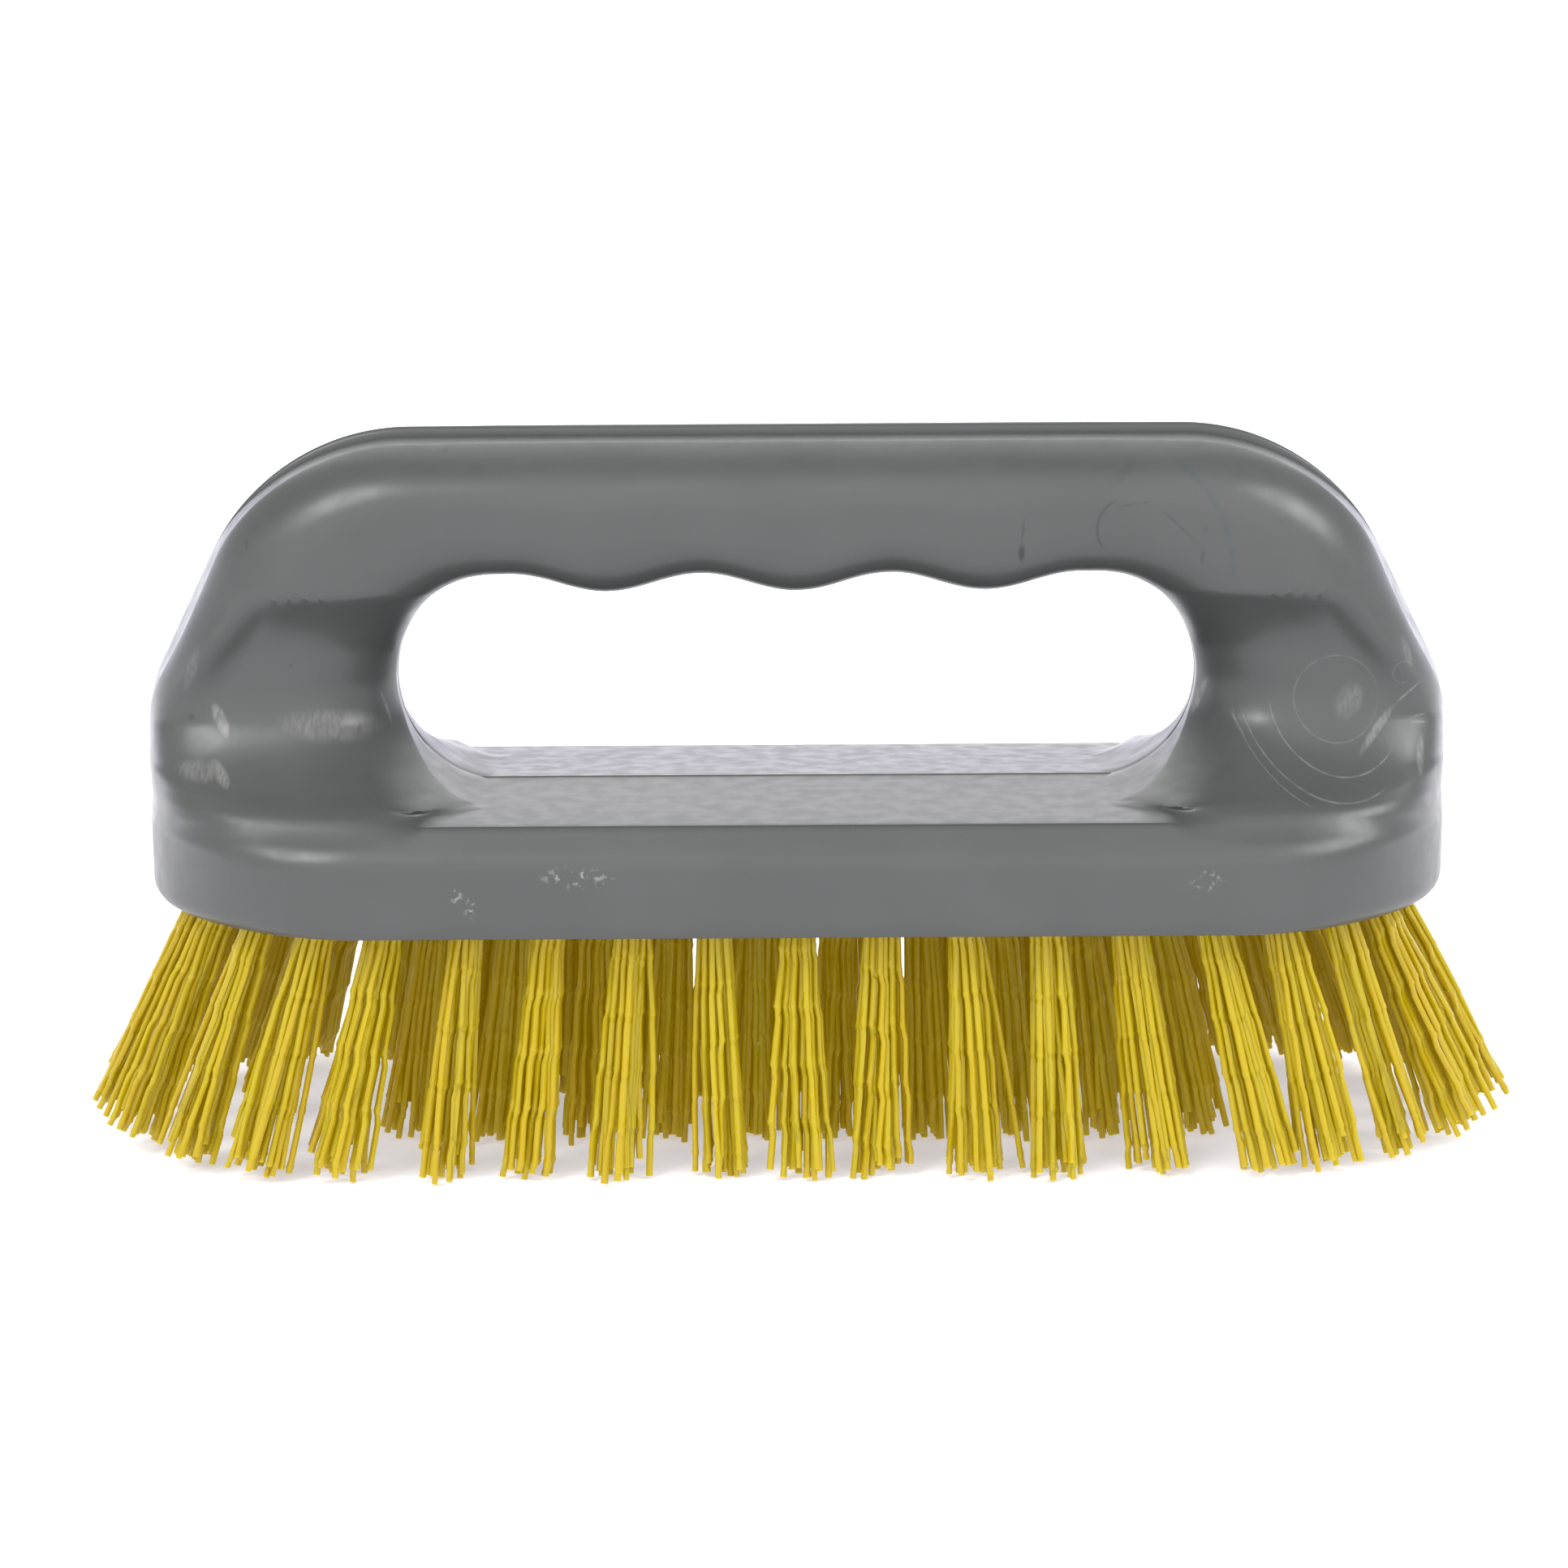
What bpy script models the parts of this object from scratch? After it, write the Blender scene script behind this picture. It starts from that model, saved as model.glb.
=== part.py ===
"""Hand scrubbing brush: a one-piece moulded body with a finger opening, and tufts of crimped filament.

Metres, +Z up. The bristle tips stand on z = 0, X runs along the brush, and the parting plane of the
mould is y = 0, so every wall drafts away from that plane.
"""

import math
import random

import bmesh
import bpy
import numpy as np
from mathutils import Matrix, Vector

# Base block
BODY_LENGTH = 0.155
BODY_DEPTH = 0.0556
BASE_THICKNESS = 0.0133
BASE_EDGE_INSET = 0.0031
EDGE_FADE_START_SHARE = 0.74
EDGE_FADE_RUN = 0.016
DRAFT = math.tan(math.radians(1.95))
SIDE_HEIGHT_SHARES = (0.0, 0.03, 0.09, 0.6, 0.7, 0.76, 0.84, 0.92, 1.0)
SIDE_INSET_SHARES = (0.18, 0.05, 0.0, 0.0, 0.05, 0.17, 0.43, 0.715, 1.0)

# Handle, seen from the front
BAR_THICKNESS = 0.0168
LEG_WIDTH = 0.0298
OPENING_HEIGHT = 0.0255
SHOULDER_RADIUS = 0.0264
FLANK_LENGTH = 0.0147
FLANK_LEAN = math.radians(26.5)
FLANK_RADIUS = 0.0162
END_INSET = 0.0002
CORNER_SINK = 0.00015
FINGER_COUNT = 4
FINGER_REACH_SHARE = 0.95
SCALLOP_DEPTH = 0.0021

# Handle, front to back
BAR_DEPTH = 0.026
LEG_DEPTH = 0.0187
FOOT_DEPTH = 0.0310
FOOT_SPLAY_START = 0.0034
FOOT_SPLAY_RUN = 0.0051
FOOT_SPLAY_POWER = 1.2
FOOT_PLUG_DEPTH = 0.006
FLARE_HEIGHT = 0.0131
FLARE_POWER = 2.5
SCOOP_DROP = 0.0185
SCOOP_STEP = 0.0072
SCOOP_STEP_POWER = 0.57
SCOOP_ONSET = 0.1
RIM_WIDTH = 0.0031
RIM_BLEND = 0.0062
RIM_FADE_DROP = 0.0235
RIM_FADE_RUN = 0.0105
END_BLEND = 0.004

# Roundness of the handle's section at stations round the opening's end, from the bar (90 degrees) to the foot
SECTION_ANGLES = (-88.0, -75.0, -60.0, -45.0, -20.0, 15.0, 55.0, 90.0)
INNER_WALL_SHARES = (0.97, 0.77, 0.57, 0.42, 0.15, 0.12, 0.17, 0.22)
INNER_POWERS = (9.0, 7.0, 4.6, 3.3, 2.7, 2.8, 3.8, 4.2)
INNER_ROOTS = (9.0, 4.0, 1.5, 1.05, 1.0, 1.1, 3.4, 4.2)
OUTER_WALL_SHARES = (0.94, 0.90, 0.80, 0.60, 0.46, 0.45, 0.41, 0.385)
OUTER_POWERS = (9.0, 8.0, 6.0, 4.0, 2.7, 2.5, 2.4, 2.4)
OUTER_ROOTS = (9.0, 8.0, 5.0, 2.5, 1.5, 1.3, 1.25, 1.25)
LEDGE_SLOPES = (0.0, 0.04, 0.08, 0.13, 0.22, 0.21, 0.09, 0.035)

# Pattern of tufts on the bristle face
RIM_ROW_INSET = 0.0064
RIM_SIDE_STEPS = 5
RIM_END_COUNT = 8
RIM_END_PITCH_SHARE = 0.836
INNER_ROW_SHARE = 0.38
FRONT_ROW_COUNT = 10
REAR_ROW_COUNT = 9
END_TUFT_PITCHES = 6
END_LEAN = math.radians(24.0)
END_LEAN_POWER = 1.8
SIDE_LEAN = math.radians(5.0)

# One tuft and its blind hole
BRISTLE_LENGTH = 0.0294
HOLE_RADIUS = 0.0023
HOLE_ROOF = 0.0043
HOLE_CLEARANCE = 0.0003
ROOT_RECESS = 0.001
STRAND_RADIUS = 0.00054
STRAND_RING_RADIUS = 0.0011
STRANDS_IN_RING = 6
TIP_SPREAD_RATIO = 2.0
TIP_SPREAD_SCATTER_SHARE = 0.14
CRIMP_DEPTH = 0.00034
CRIMP_PLACE_SHARE = 0.52
TRIM_SCATTER = 0.0018
TRIM_CUT = 0.0005
CUT_OVERRUN = 0.002
TUFT_SEED = 11

# Fineness of the mesh
FINGER_STEPS = 8
CORNER_STEPS = 16
SECTION_STEPS = 10
END_ARC_STEPS = 24
OUTLINE_STEPS = 32
OUTLINE_SAMPLES = 600
HOLE_SIDES = 8
ROOT_SIDES = 6
STRAND_SIDES = 3

# Places worked out from the sizes above
HALF_LENGTH = BODY_LENGTH / 2
HALF_DEPTH = BODY_DEPTH / 2
FACE_Z = BRISTLE_LENGTH
CROWN_Z = FACE_Z + BASE_THICKNESS
RECESS_Z = CROWN_Z + OPENING_HEIGHT
TOP_Z = RECESS_Z + BAR_THICKNESS
END_CENTRE_X = HALF_LENGTH - HALF_DEPTH
CORNER_RADIUS = (OPENING_HEIGHT + CORNER_SINK) / 2
CORNER_X = HALF_LENGTH - LEG_WIDTH - CORNER_RADIUS
CORNER_Z = RECESS_Z - CORNER_RADIUS
FINGER_PITCH = 2 * FINGER_REACH_SHARE * CORNER_X / (FINGER_COUNT - 1)
SCOOP_TOP_Z = TOP_Z - SCOOP_DROP
RIM_ROW_RADIUS = HALF_DEPTH - RIM_ROW_INSET
RIM_QUARTER = END_CENTRE_X + RIM_ROW_RADIUS * math.pi / 2
RIM_END_STEPS = (RIM_END_COUNT + 1) / 2
TUFT_PITCH = RIM_QUARTER / (RIM_SIDE_STEPS + RIM_END_STEPS * RIM_END_PITCH_SHARE)
HOLE_DEPTH = BASE_THICKNESS - HOLE_ROOF
ROOT_RADIUS = HOLE_RADIUS * math.cos(math.pi / HOLE_SIDES) - HOLE_CLEARANCE


def clear_scene():
    """Remove whatever the scene holds."""
    for obj in list(bpy.data.objects):
        bpy.data.objects.remove(obj, do_unlink=True)


def make_collection(name, hidden=False):
    """Add a collection to the scene."""
    collection = bpy.data.collections.new(name)
    collection.hide_render = hidden
    bpy.context.scene.collection.children.link(collection)
    return collection


def make_material(name, colour, roughness, metallic=0.0):
    """Make a plain Principled material."""
    material = bpy.data.materials.new(name)
    material.use_nodes = True
    shader = material.node_tree.nodes["Principled BSDF"]
    shader.inputs["Base Color"].default_value = (*colour, 1.0)
    shader.inputs["Roughness"].default_value = roughness
    shader.inputs["Metallic"].default_value = metallic
    return material


def mesh_from(bm, name):
    """Turn a bmesh into a mesh whose faces point out, and free the bmesh."""
    bmesh.ops.recalc_face_normals(bm, faces=bm.faces[:])
    mesh = bpy.data.meshes.new(name)
    bm.to_mesh(mesh)
    bm.free()
    return mesh


def add_object(name, mesh, collection, material=None):
    """Put a mesh in a collection as an object of its own; one with no material is a cutter or a helper."""
    obj = bpy.data.objects.new(name, mesh)
    collection.objects.link(obj)
    if material:
        mesh.materials.append(material)
    else:
        obj.hide_render = True
        obj.display_type = "WIRE"
    return obj


def add_boolean(obj, other, operation):
    """Join another solid to an object, or cut it away."""
    modifier = obj.modifiers.new(operation.title(), "BOOLEAN")
    modifier.object = other
    modifier.operation = operation
    modifier.solver = "EXACT"


def shade_smooth(mesh, sharp_degrees=40):
    """Shade a mesh smooth except across its sharp edges."""
    mesh.shade_smooth()
    mesh.set_sharp_from_angle(angle=math.radians(sharp_degrees))


def skin(bm, sections):
    """Skin a run of closed sections that have equally many points, and return their rings of vertices."""
    rings = [[bm.verts.new(point) for point in section] for section in sections]
    count = len(rings[0])
    for near, far in zip(rings, rings[1:]):
        for i in range(count):
            j = (i + 1) % count
            bm.faces.new((near[i], near[j], far[j], far[i]))
    return rings


def smooth_step(value):
    """Ease from 0 to 1 as the value goes from 0 to 1."""
    t = min(max(value, 0.0), 1.0)
    return t * t * (3 - 2 * t)


# Base block


def plan_depth(x, inset):
    """Half the depth of the base's plan at x, drawn in by an inset."""
    radius = HALF_DEPTH - inset
    beyond = max(abs(x) - END_CENTRE_X, 0.0)
    return math.sqrt(max(radius**2 - beyond**2, 0.0))


def edge_inset(x):
    """How far the base's side draws in at its top edge; this fades out where the feet take over at the ends."""
    return BASE_EDGE_INSET * (1 - smooth_step((abs(x) - EDGE_FADE_START_SHARE * HALF_LENGTH) / EDGE_FADE_RUN))


def plan_outline(inset_share):
    """Points of the base's plan: two half circles, the right one first, joined by straight sides."""
    points = []
    for centre_x, first_turn in ((END_CENTRE_X, -0.5), (-END_CENTRE_X, 0.5)):
        for i in range(END_ARC_STEPS + 1):
            angle = math.pi * (first_turn + i / END_ARC_STEPS)
            radius = HALF_DEPTH - inset_share * edge_inset(centre_x + HALF_DEPTH * math.cos(angle))
            points.append((centre_x + radius * math.cos(angle), radius * math.sin(angle)))
    return points


def base_mesh():
    """The base: a flat bristle face, a bellied side, and a top that drafts down from the parting line."""
    bm = bmesh.new()
    loops = []
    for height_share, inset_share in zip(SIDE_HEIGHT_SHARES, SIDE_INSET_SHARES):
        outline = plan_outline(inset_share)
        loops.append([(x, y, FACE_Z + height_share * side_height(y)) for x, y in outline])
    rings = skin(bm, loops)
    bm.faces.new(rings[0])
    rim = rings[-1]
    right_tip = END_ARC_STEPS // 2
    left_tip = right_tip + END_ARC_STEPS + 1
    bm.faces.new(rim[right_tip : left_tip + 1])
    bm.faces.new(rim[left_tip:] + rim[: right_tip + 1])
    return mesh_from(bm, "base")


def side_height(y):
    """Height of the base's side at y, less than at the parting line by the draft."""
    return BASE_THICKNESS - DRAFT * abs(y)


# Handle with its two legs


def handle_outline():
    """Right half of the handle's outline, from the middle of the top down into the base."""
    lean_x = math.cos(FLANK_LEAN)
    lean_z = math.sin(FLANK_LEAN)
    reach = HALF_LENGTH - END_INSET
    flank_turn = FLANK_RADIUS * (1 - lean_x)
    centre_x = reach - SHOULDER_RADIUS * lean_x - FLANK_LENGTH * lean_z - flank_turn
    centre_z = TOP_Z - SHOULDER_RADIUS
    points = [(0.0, TOP_Z)]
    for i in range(OUTLINE_STEPS + 1):
        angle = math.pi / 2 + (FLANK_LEAN - math.pi / 2) * i / OUTLINE_STEPS
        x = centre_x + SHOULDER_RADIUS * math.cos(angle)
        points.append((x, centre_z + SHOULDER_RADIUS * math.sin(angle)))
    flank_x = points[-1][0] + FLANK_LENGTH * lean_z
    flank_z = points[-1][1] - FLANK_LENGTH * lean_x
    for i in range(OUTLINE_STEPS + 1):
        angle = FLANK_LEAN * (1 - i / OUTLINE_STEPS)
        x = flank_x + FLANK_RADIUS * (math.cos(angle) - lean_x)
        points.append((x, flank_z - FLANK_RADIUS * (lean_z - math.sin(angle))))
    points.append((reach, CROWN_Z - FOOT_PLUG_DEPTH))
    points = np.array(points)
    along = np.concatenate(([0.0], np.cumsum(np.hypot(*np.diff(points, axis=0).T))))
    even = np.linspace(0.0, along[-1], OUTLINE_SAMPLES)
    return np.column_stack([np.interp(even, along, values) for values in points.T])


def finger_line(x):
    """Height of the opening's upper edge: a wave with one recess for each finger."""
    outermost = FINGER_REACH_SHARE * CORNER_X
    along = min(abs(x), outermost)
    wave = math.cos(2 * math.pi * (along - outermost) / FINGER_PITCH)
    return RECESS_Z - SCALLOP_DEPTH * (1 - wave) / 2


def handle_stations():
    """Lines from the opening to the outline, right half: inner point and normal, outer point and normal, angle."""
    outline = handle_outline()
    along = np.gradient(outline, axis=0)
    inward = np.column_stack([along[:, 1], -along[:, 0]]) / np.hypot(*along.T)[:, None]
    table = np.hstack([outline, inward])
    stations = []
    bar_steps = round(FINGER_STEPS * CORNER_X / FINGER_PITCH)
    for i in range(bar_steps):
        x = CORNER_X * i / bar_steps
        stations.append(((x, finger_line(x)), (0.0, 1.0), (x, TOP_Z), (0.0, -1.0), 90.0))
    from_corner = outline - (CORNER_X, CORNER_Z)
    bearing = np.degrees(np.arctan2(from_corner[:, 1], from_corner[:, 0]))
    for i in range(CORNER_STEPS + 1):
        angle = 90.0 + (SECTION_ANGLES[0] - 90.0) * i / CORNER_STEPS
        normal = (math.cos(math.radians(angle)), math.sin(math.radians(angle)))
        inner = (CORNER_X + CORNER_RADIUS * normal[0], CORNER_Z + CORNER_RADIUS * normal[1])
        if angle > 0:
            found = [np.interp(-angle, -bearing, values) for values in table.T]
        else:
            found = [np.interp(-inner[1], -outline[:, 1], values) for values in table.T]
        stations.append((inner, normal, tuple(found[:2]), tuple(found[2:]), angle))
    inner, normal, outer, inward, angle = stations[-1]
    plug_z = CROWN_Z - FOOT_PLUG_DEPTH
    stations.append(((inner[0], plug_z), normal, (outer[0], plug_z), inward, angle))
    return stations


def softened_least(first, second, blend):
    """The lesser of two lengths, rounded off where they come within a blend of each other."""
    near = max(blend - abs(first - second), 0.0)
    return min(first, second) - (near**2 / (4 * blend) if near else 0.0)


def handle_half_depth(x, z, from_outline):
    """Half the handle's depth at a point of its front view, before its edges are rounded."""
    below = max((SCOOP_TOP_Z - z) / SCOOP_STEP, 0.0)
    below_step = smooth_step((below**2 / (below + SCOOP_ONSET)) ** SCOOP_STEP_POWER)
    inside_rim = smooth_step((from_outline - RIM_WIDTH) / RIM_BLEND)
    inside_rim += (1 - inside_rim) * smooth_step((TOP_Z - RIM_FADE_DROP - z) / RIM_FADE_RUN)
    depth = BAR_DEPTH / 2 - (BAR_DEPTH - LEG_DEPTH) / 2 * below_step * inside_rim
    along = max(x - CORNER_X - FOOT_SPLAY_START, 0.0) / FOOT_SPLAY_RUN
    splay = (HALF_DEPTH - BASE_EDGE_INSET - FOOT_DEPTH / 2) * along**FOOT_SPLAY_POWER
    foot = min(FOOT_DEPTH / 2 + splay, plan_depth(x, edge_inset(x) + END_INSET))
    flare = min(max(1 - (z - CROWN_Z) / FLARE_HEIGHT, 0.0), 1.0) ** FLARE_POWER
    return softened_least(depth + (foot - depth) * flare, plan_depth(x, END_INSET), END_BLEND * (1 - flare))


def handle_section(station):
    """One closed section of the handle, from the opening over the front to the outline and back."""
    inner, normal, outer, inward, angle = station
    inner = np.array(inner)
    outer = np.array(outer)
    width = np.linalg.norm(outer - inner)
    inner_share = np.interp(angle, SECTION_ANGLES, INNER_WALL_SHARES)
    outer_share = np.interp(angle, SECTION_ANGLES, OUTER_WALL_SHARES)
    inner_power = np.interp(angle, SECTION_ANGLES, INNER_POWERS)
    inner_root = np.interp(angle, SECTION_ANGLES, INNER_ROOTS)
    outer_power = np.interp(angle, SECTION_ANGLES, OUTER_POWERS)
    outer_root = np.interp(angle, SECTION_ANGLES, OUTER_ROOTS)
    ledge_slope = DRAFT + np.interp(angle, SECTION_ANGLES, LEDGE_SLOPES)
    inner_wall = inner_share * handle_half_depth(inner[0], inner[1], width)
    outer_wall = outer_share * handle_half_depth(outer[0], outer[1], 0.0)
    start = inner + np.array(normal) * DRAFT * inner_wall
    end = outer + np.array(inward) * ledge_slope * outer_wall
    front = []
    for i in range(SECTION_STEPS + 1):
        across = max(-math.cos(math.pi * i / SECTION_STEPS), -1.0)
        x, z = start + (end - start) * (1 + across) / 2
        depth = handle_half_depth(x, z, width * (1 - across) / 2)
        share = inner_share if across < 0 else outer_share
        power = inner_power if across < 0 else outer_power
        root = inner_root if across < 0 else outer_root
        crown = (1 - abs(across) ** power) ** (1 / root)
        front.append((x, -depth * (share + (1 - share) * crown), z))
    back = [(x, -y, z) for x, y, z in reversed(front)]
    return [(inner[0], 0.0, inner[1]), *front, (outer[0], 0.0, outer[1]), *back]


def handle_mesh():
    """The handle: sections lofted from the left foot over the bar to the right foot."""
    right = [handle_section(station) for station in handle_stations()]
    left = [[(-x, y, z) for x, y, z in section] for section in right[:0:-1]]
    bm = bmesh.new()
    rings = skin(bm, left + right)
    bm.faces.new(rings[0])
    bm.faces.new(rings[-1])
    return mesh_from(bm, "handle")


# Pattern of tufts


def rim_point(along):
    """Point of the rim row, at a distance from the middle of its side towards the end of the brush."""
    if along <= END_CENTRE_X:
        return along, RIM_ROW_RADIUS
    turn = (along - END_CENTRE_X) / RIM_ROW_RADIUS
    x = END_CENTRE_X + RIM_ROW_RADIUS * math.sin(turn)
    return x, RIM_ROW_RADIUS * math.cos(turn)


def tuft_places():
    """Every tuft's name, place on the bristle face and seed. Tufts that mirror each other share a seed."""
    distances = [step * TUFT_PITCH for step in range(RIM_SIDE_STEPS + 1)]
    for step in range(1, RIM_END_COUNT // 2 + 1):
        distances.append(distances[RIM_SIDE_STEPS] + step * RIM_END_PITCH_SHARE * TUFT_PITCH)
    quarter = [rim_point(along) for along in distances]
    rim = []
    for seed, (x, y) in enumerate(quarter):
        for side in (-1, 1):
            rim += [(end * x, side * y, seed) for end in ((1,) if seed == 0 else (-1, 1))]
    inner_y = INNER_ROW_SHARE * RIM_ROW_RADIUS
    rows = {"rim": rim}
    for row, count, y in (("front", FRONT_ROW_COUNT, -inner_y), ("rear", REAR_ROW_COUNT, inner_y)):
        first_seed = 100 if row == "front" else 200
        rows[row] = []
        for i in range(count):
            step = i - (count - 1) / 2
            rows[row].append((step * TUFT_PITCH, y, first_seed + round(abs(2 * step))))
    end_x = END_TUFT_PITCHES * TUFT_PITCH
    rows["end"] = [(-end_x, 0.0, 300), (end_x, 0.0, 300)]
    for row, places in rows.items():
        for number, (x, y, seed) in enumerate(sorted(places), start=1):
            yield f"tuft_{row}_{number:02d}", x, y, seed


def lean_direction(x, y):
    """Unit vector along a tuft at x, y of one quarter of the face, from its root to its tips."""
    lean_x = END_LEAN * (x / (END_CENTRE_X + RIM_ROW_RADIUS)) ** END_LEAN_POWER
    lean_y = SIDE_LEAN * y / RIM_ROW_RADIUS
    return Vector((math.tan(lean_x), math.tan(lean_y), -1.0)).normalized()


def tuft_frame(x, y):
    """Matrix whose origin is the tuft's place on the face and whose Z points into the body."""
    into_body = -lean_direction(abs(x), abs(y))
    turned = Vector((0, 0, 1)).rotation_difference(into_body).to_matrix().to_4x4()
    mirror = Matrix.Diagonal((math.copysign(1, x), math.copysign(1, y), 1, 1))
    return mirror @ Matrix.Translation((abs(x), abs(y), FACE_Z)) @ turned


# Tufts and their holes


def ring_points(radius, sides, z, centre=(0.0, 0.0), turn=0.0):
    """Corners of a regular polygon at height z."""
    angles = [turn + 2 * math.pi * i / sides for i in range(sides)]
    return [
        Vector((centre[0] + radius * math.cos(a), centre[1] + radius * math.sin(a), z))
        for a in angles
    ]


def holes_mesh():
    """Cutter with one blind hole for each tuft."""
    bm = bmesh.new()
    for _, x, y, _ in tuft_places():
        frame = tuft_frame(x, y)
        ends = [ring_points(HOLE_RADIUS, HOLE_SIDES, z) for z in (-CUT_OVERRUN, HOLE_DEPTH)]
        rings = skin(bm, [[frame @ point for point in end] for end in ends])
        bm.faces.new(rings[0])
        bm.faces.new(rings[1])
    return mesh_from(bm, "tuft_holes")


def strand_roots():
    """Centre and turn of each strand in a tuft's root: one in the middle and a ring round it."""
    roots = [((0.0, 0.0), math.pi / (2 * STRAND_SIDES))]
    for i in range(STRANDS_IN_RING):
        angle = 2 * math.pi * i / STRANDS_IN_RING
        centre = (STRAND_RING_RADIUS * math.cos(angle), STRAND_RING_RADIUS * math.sin(angle))
        roots.append((centre, angle + math.pi / STRAND_SIDES))
    return roots


def strand_sections(frame, root, draw):
    """World-space rings of one crimped strand, from its root to its tip, which is cut level."""
    (cx, cy), turn = root
    down = -(frame.to_3x3() @ Vector((0, 0, 1)))
    scatter = 0.0 if (cx, cy) == (0.0, 0.0) else draw.random()
    natural = BRISTLE_LENGTH + TRIM_CUT - TRIM_SCATTER * scatter
    tip_z = max(FACE_Z + natural * down.z, 0.0)
    length = (FACE_Z - tip_z) / -down.z
    spread = TIP_SPREAD_RATIO * (1 + TIP_SPREAD_SCATTER_SHARE * draw.uniform(-1, 1))
    tip_local = Vector((cx * spread, cy * spread, -length))
    root_local = Vector((cx, cy, ROOT_RECESS))
    middle_local = root_local.lerp(tip_local, CRIMP_PLACE_SHARE)
    middle_local.x += CRIMP_DEPTH
    root_ring = ring_points(STRAND_RADIUS, STRAND_SIDES, ROOT_RECESS, (cx, cy), turn)
    offsets = [point - root_local for point in root_ring]
    tip = frame @ tip_local
    tip += down * ((tip_z - tip.z) / down.z)
    sections = [[frame @ point for point in root_ring]]
    sections.append([frame @ (middle_local + offset) for offset in offsets])
    flat = Vector((1, 1, 0))
    sections.append([tip + (frame.to_3x3() @ offset) * flat for offset in offsets])
    return sections


def tuft_mesh(x, y, seed):
    """One tuft: its root solid in the hole, and its strands, which fan out from the root's lower face."""
    draw = random.Random(TUFT_SEED + seed)
    frame = tuft_frame(x, y)
    bm = bmesh.new()
    levels = (HOLE_DEPTH - HOLE_CLEARANCE, ROOT_RECESS)
    plug = [[frame @ p for p in ring_points(ROOT_RADIUS, ROOT_SIDES, z)] for z in levels]
    rings = skin(bm, plug)
    bm.faces.new(rings[0])
    lower_rings = [rings[1]]
    for root in strand_roots():
        strand = skin(bm, strand_sections(frame, root, draw))
        bm.faces.new(strand[-1])
        lower_rings.append(strand[0])
    edges = []
    for ring in lower_rings:
        edges += [bm.edges.get((a, b)) for a, b in zip(ring, ring[1:] + ring[:1])]
    bmesh.ops.triangle_fill(bm, use_beauty=True, edges=edges)
    return mesh_from(bm, "tuft")


def main():
    """Build the brush."""
    clear_scene()
    brush = make_collection("scrubbing_brush")
    helpers = make_collection("cutters", hidden=True)
    grey = make_material("grey_plastic", (0.165, 0.176, 0.172), 0.42)
    yellow = make_material("yellow_filament", (0.62, 0.47, 0.012), 0.34)
    body = add_object("moulded_body", base_mesh(), brush, grey)
    shade_smooth(body.data)
    handle = add_object("handle_with_legs", handle_mesh(), helpers)
    shade_smooth(handle.data)
    add_boolean(body, handle, "UNION")
    add_boolean(body, add_object("tuft_holes", holes_mesh(), helpers), "DIFFERENCE")
    for name, x, y, seed in tuft_places():
        tuft = add_object(name, tuft_mesh(x, y, seed), brush, yellow)
        shade_smooth(tuft.data)


main()
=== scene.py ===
"""Looks of the hand scrubbing brush: satin grey body, crimped yellow filament tufts, and a pale studio.

Every length is in metres. The bristle tips stand on z = 0, X runs along the brush, and y = 0 is the
parting plane of the mould, which the body's two halves draft away from.
"""

import logging
import math
from dataclasses import dataclass, field
from enum import Enum

import bmesh
import bpy
import numpy as np
from mathutils import Matrix, Vector
from mathutils.kdtree import KDTree

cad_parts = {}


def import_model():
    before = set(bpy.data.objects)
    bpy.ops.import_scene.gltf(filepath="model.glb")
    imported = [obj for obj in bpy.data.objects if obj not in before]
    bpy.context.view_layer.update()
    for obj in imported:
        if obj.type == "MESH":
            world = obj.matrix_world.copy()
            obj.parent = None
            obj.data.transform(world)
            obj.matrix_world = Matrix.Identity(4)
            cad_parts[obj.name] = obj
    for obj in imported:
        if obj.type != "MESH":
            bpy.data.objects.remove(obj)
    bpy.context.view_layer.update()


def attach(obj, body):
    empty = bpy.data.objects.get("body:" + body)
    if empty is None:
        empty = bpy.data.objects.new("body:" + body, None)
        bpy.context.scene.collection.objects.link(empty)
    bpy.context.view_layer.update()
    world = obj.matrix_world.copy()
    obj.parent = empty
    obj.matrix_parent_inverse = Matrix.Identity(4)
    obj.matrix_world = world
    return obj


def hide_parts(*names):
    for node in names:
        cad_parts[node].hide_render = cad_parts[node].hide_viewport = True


LOG = logging.getLogger("scrubbing_brush")
Point = tuple[float, float, float]


class Half(Enum):
    """The two halves of the mould, by the side of y = 0 that they shape."""

    FRONT = -1
    REAR = 1


class TuftRow(Enum):
    """Rows of tufts, by the word that their CAD nodes carry."""

    RIM = "rim"
    FRONT = "front"
    REAR = "rear"
    END = "end"


def ease(value: float) -> float:
    """Ease from 0 to 1 as the value goes from 0 to 1."""
    t = min(max(value, 0.0), 1.0)
    return t * t * (3 - 2 * t)


def softened_least(first: float, second: float, blend: float) -> float:
    """The lesser of two lengths, rounded off where they come within a blend of each other."""
    near = max(blend - abs(first - second), 0.0)
    return min(first, second) - (near**2 / (4 * blend) if near else 0.0)


def into_scene(name: str, data: bpy.types.ID) -> bpy.types.Object:
    """Make an object of its data and link it into the scene.

    Args:
        name: Name of the object.
        data: Its mesh, lamp or camera.

    Returns:
        The new object.
    """
    thing = bpy.data.objects.new(name, data)
    bpy.context.scene.collection.objects.link(thing)
    return thing


def smooth(mesh: bpy.types.Mesh, sharp_degrees: float) -> None:
    """Shade a mesh smooth, but for the edges that turn more than an angle."""
    mesh.shade_smooth()
    mesh.set_sharp_from_angle(angle=math.radians(sharp_degrees))


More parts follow.
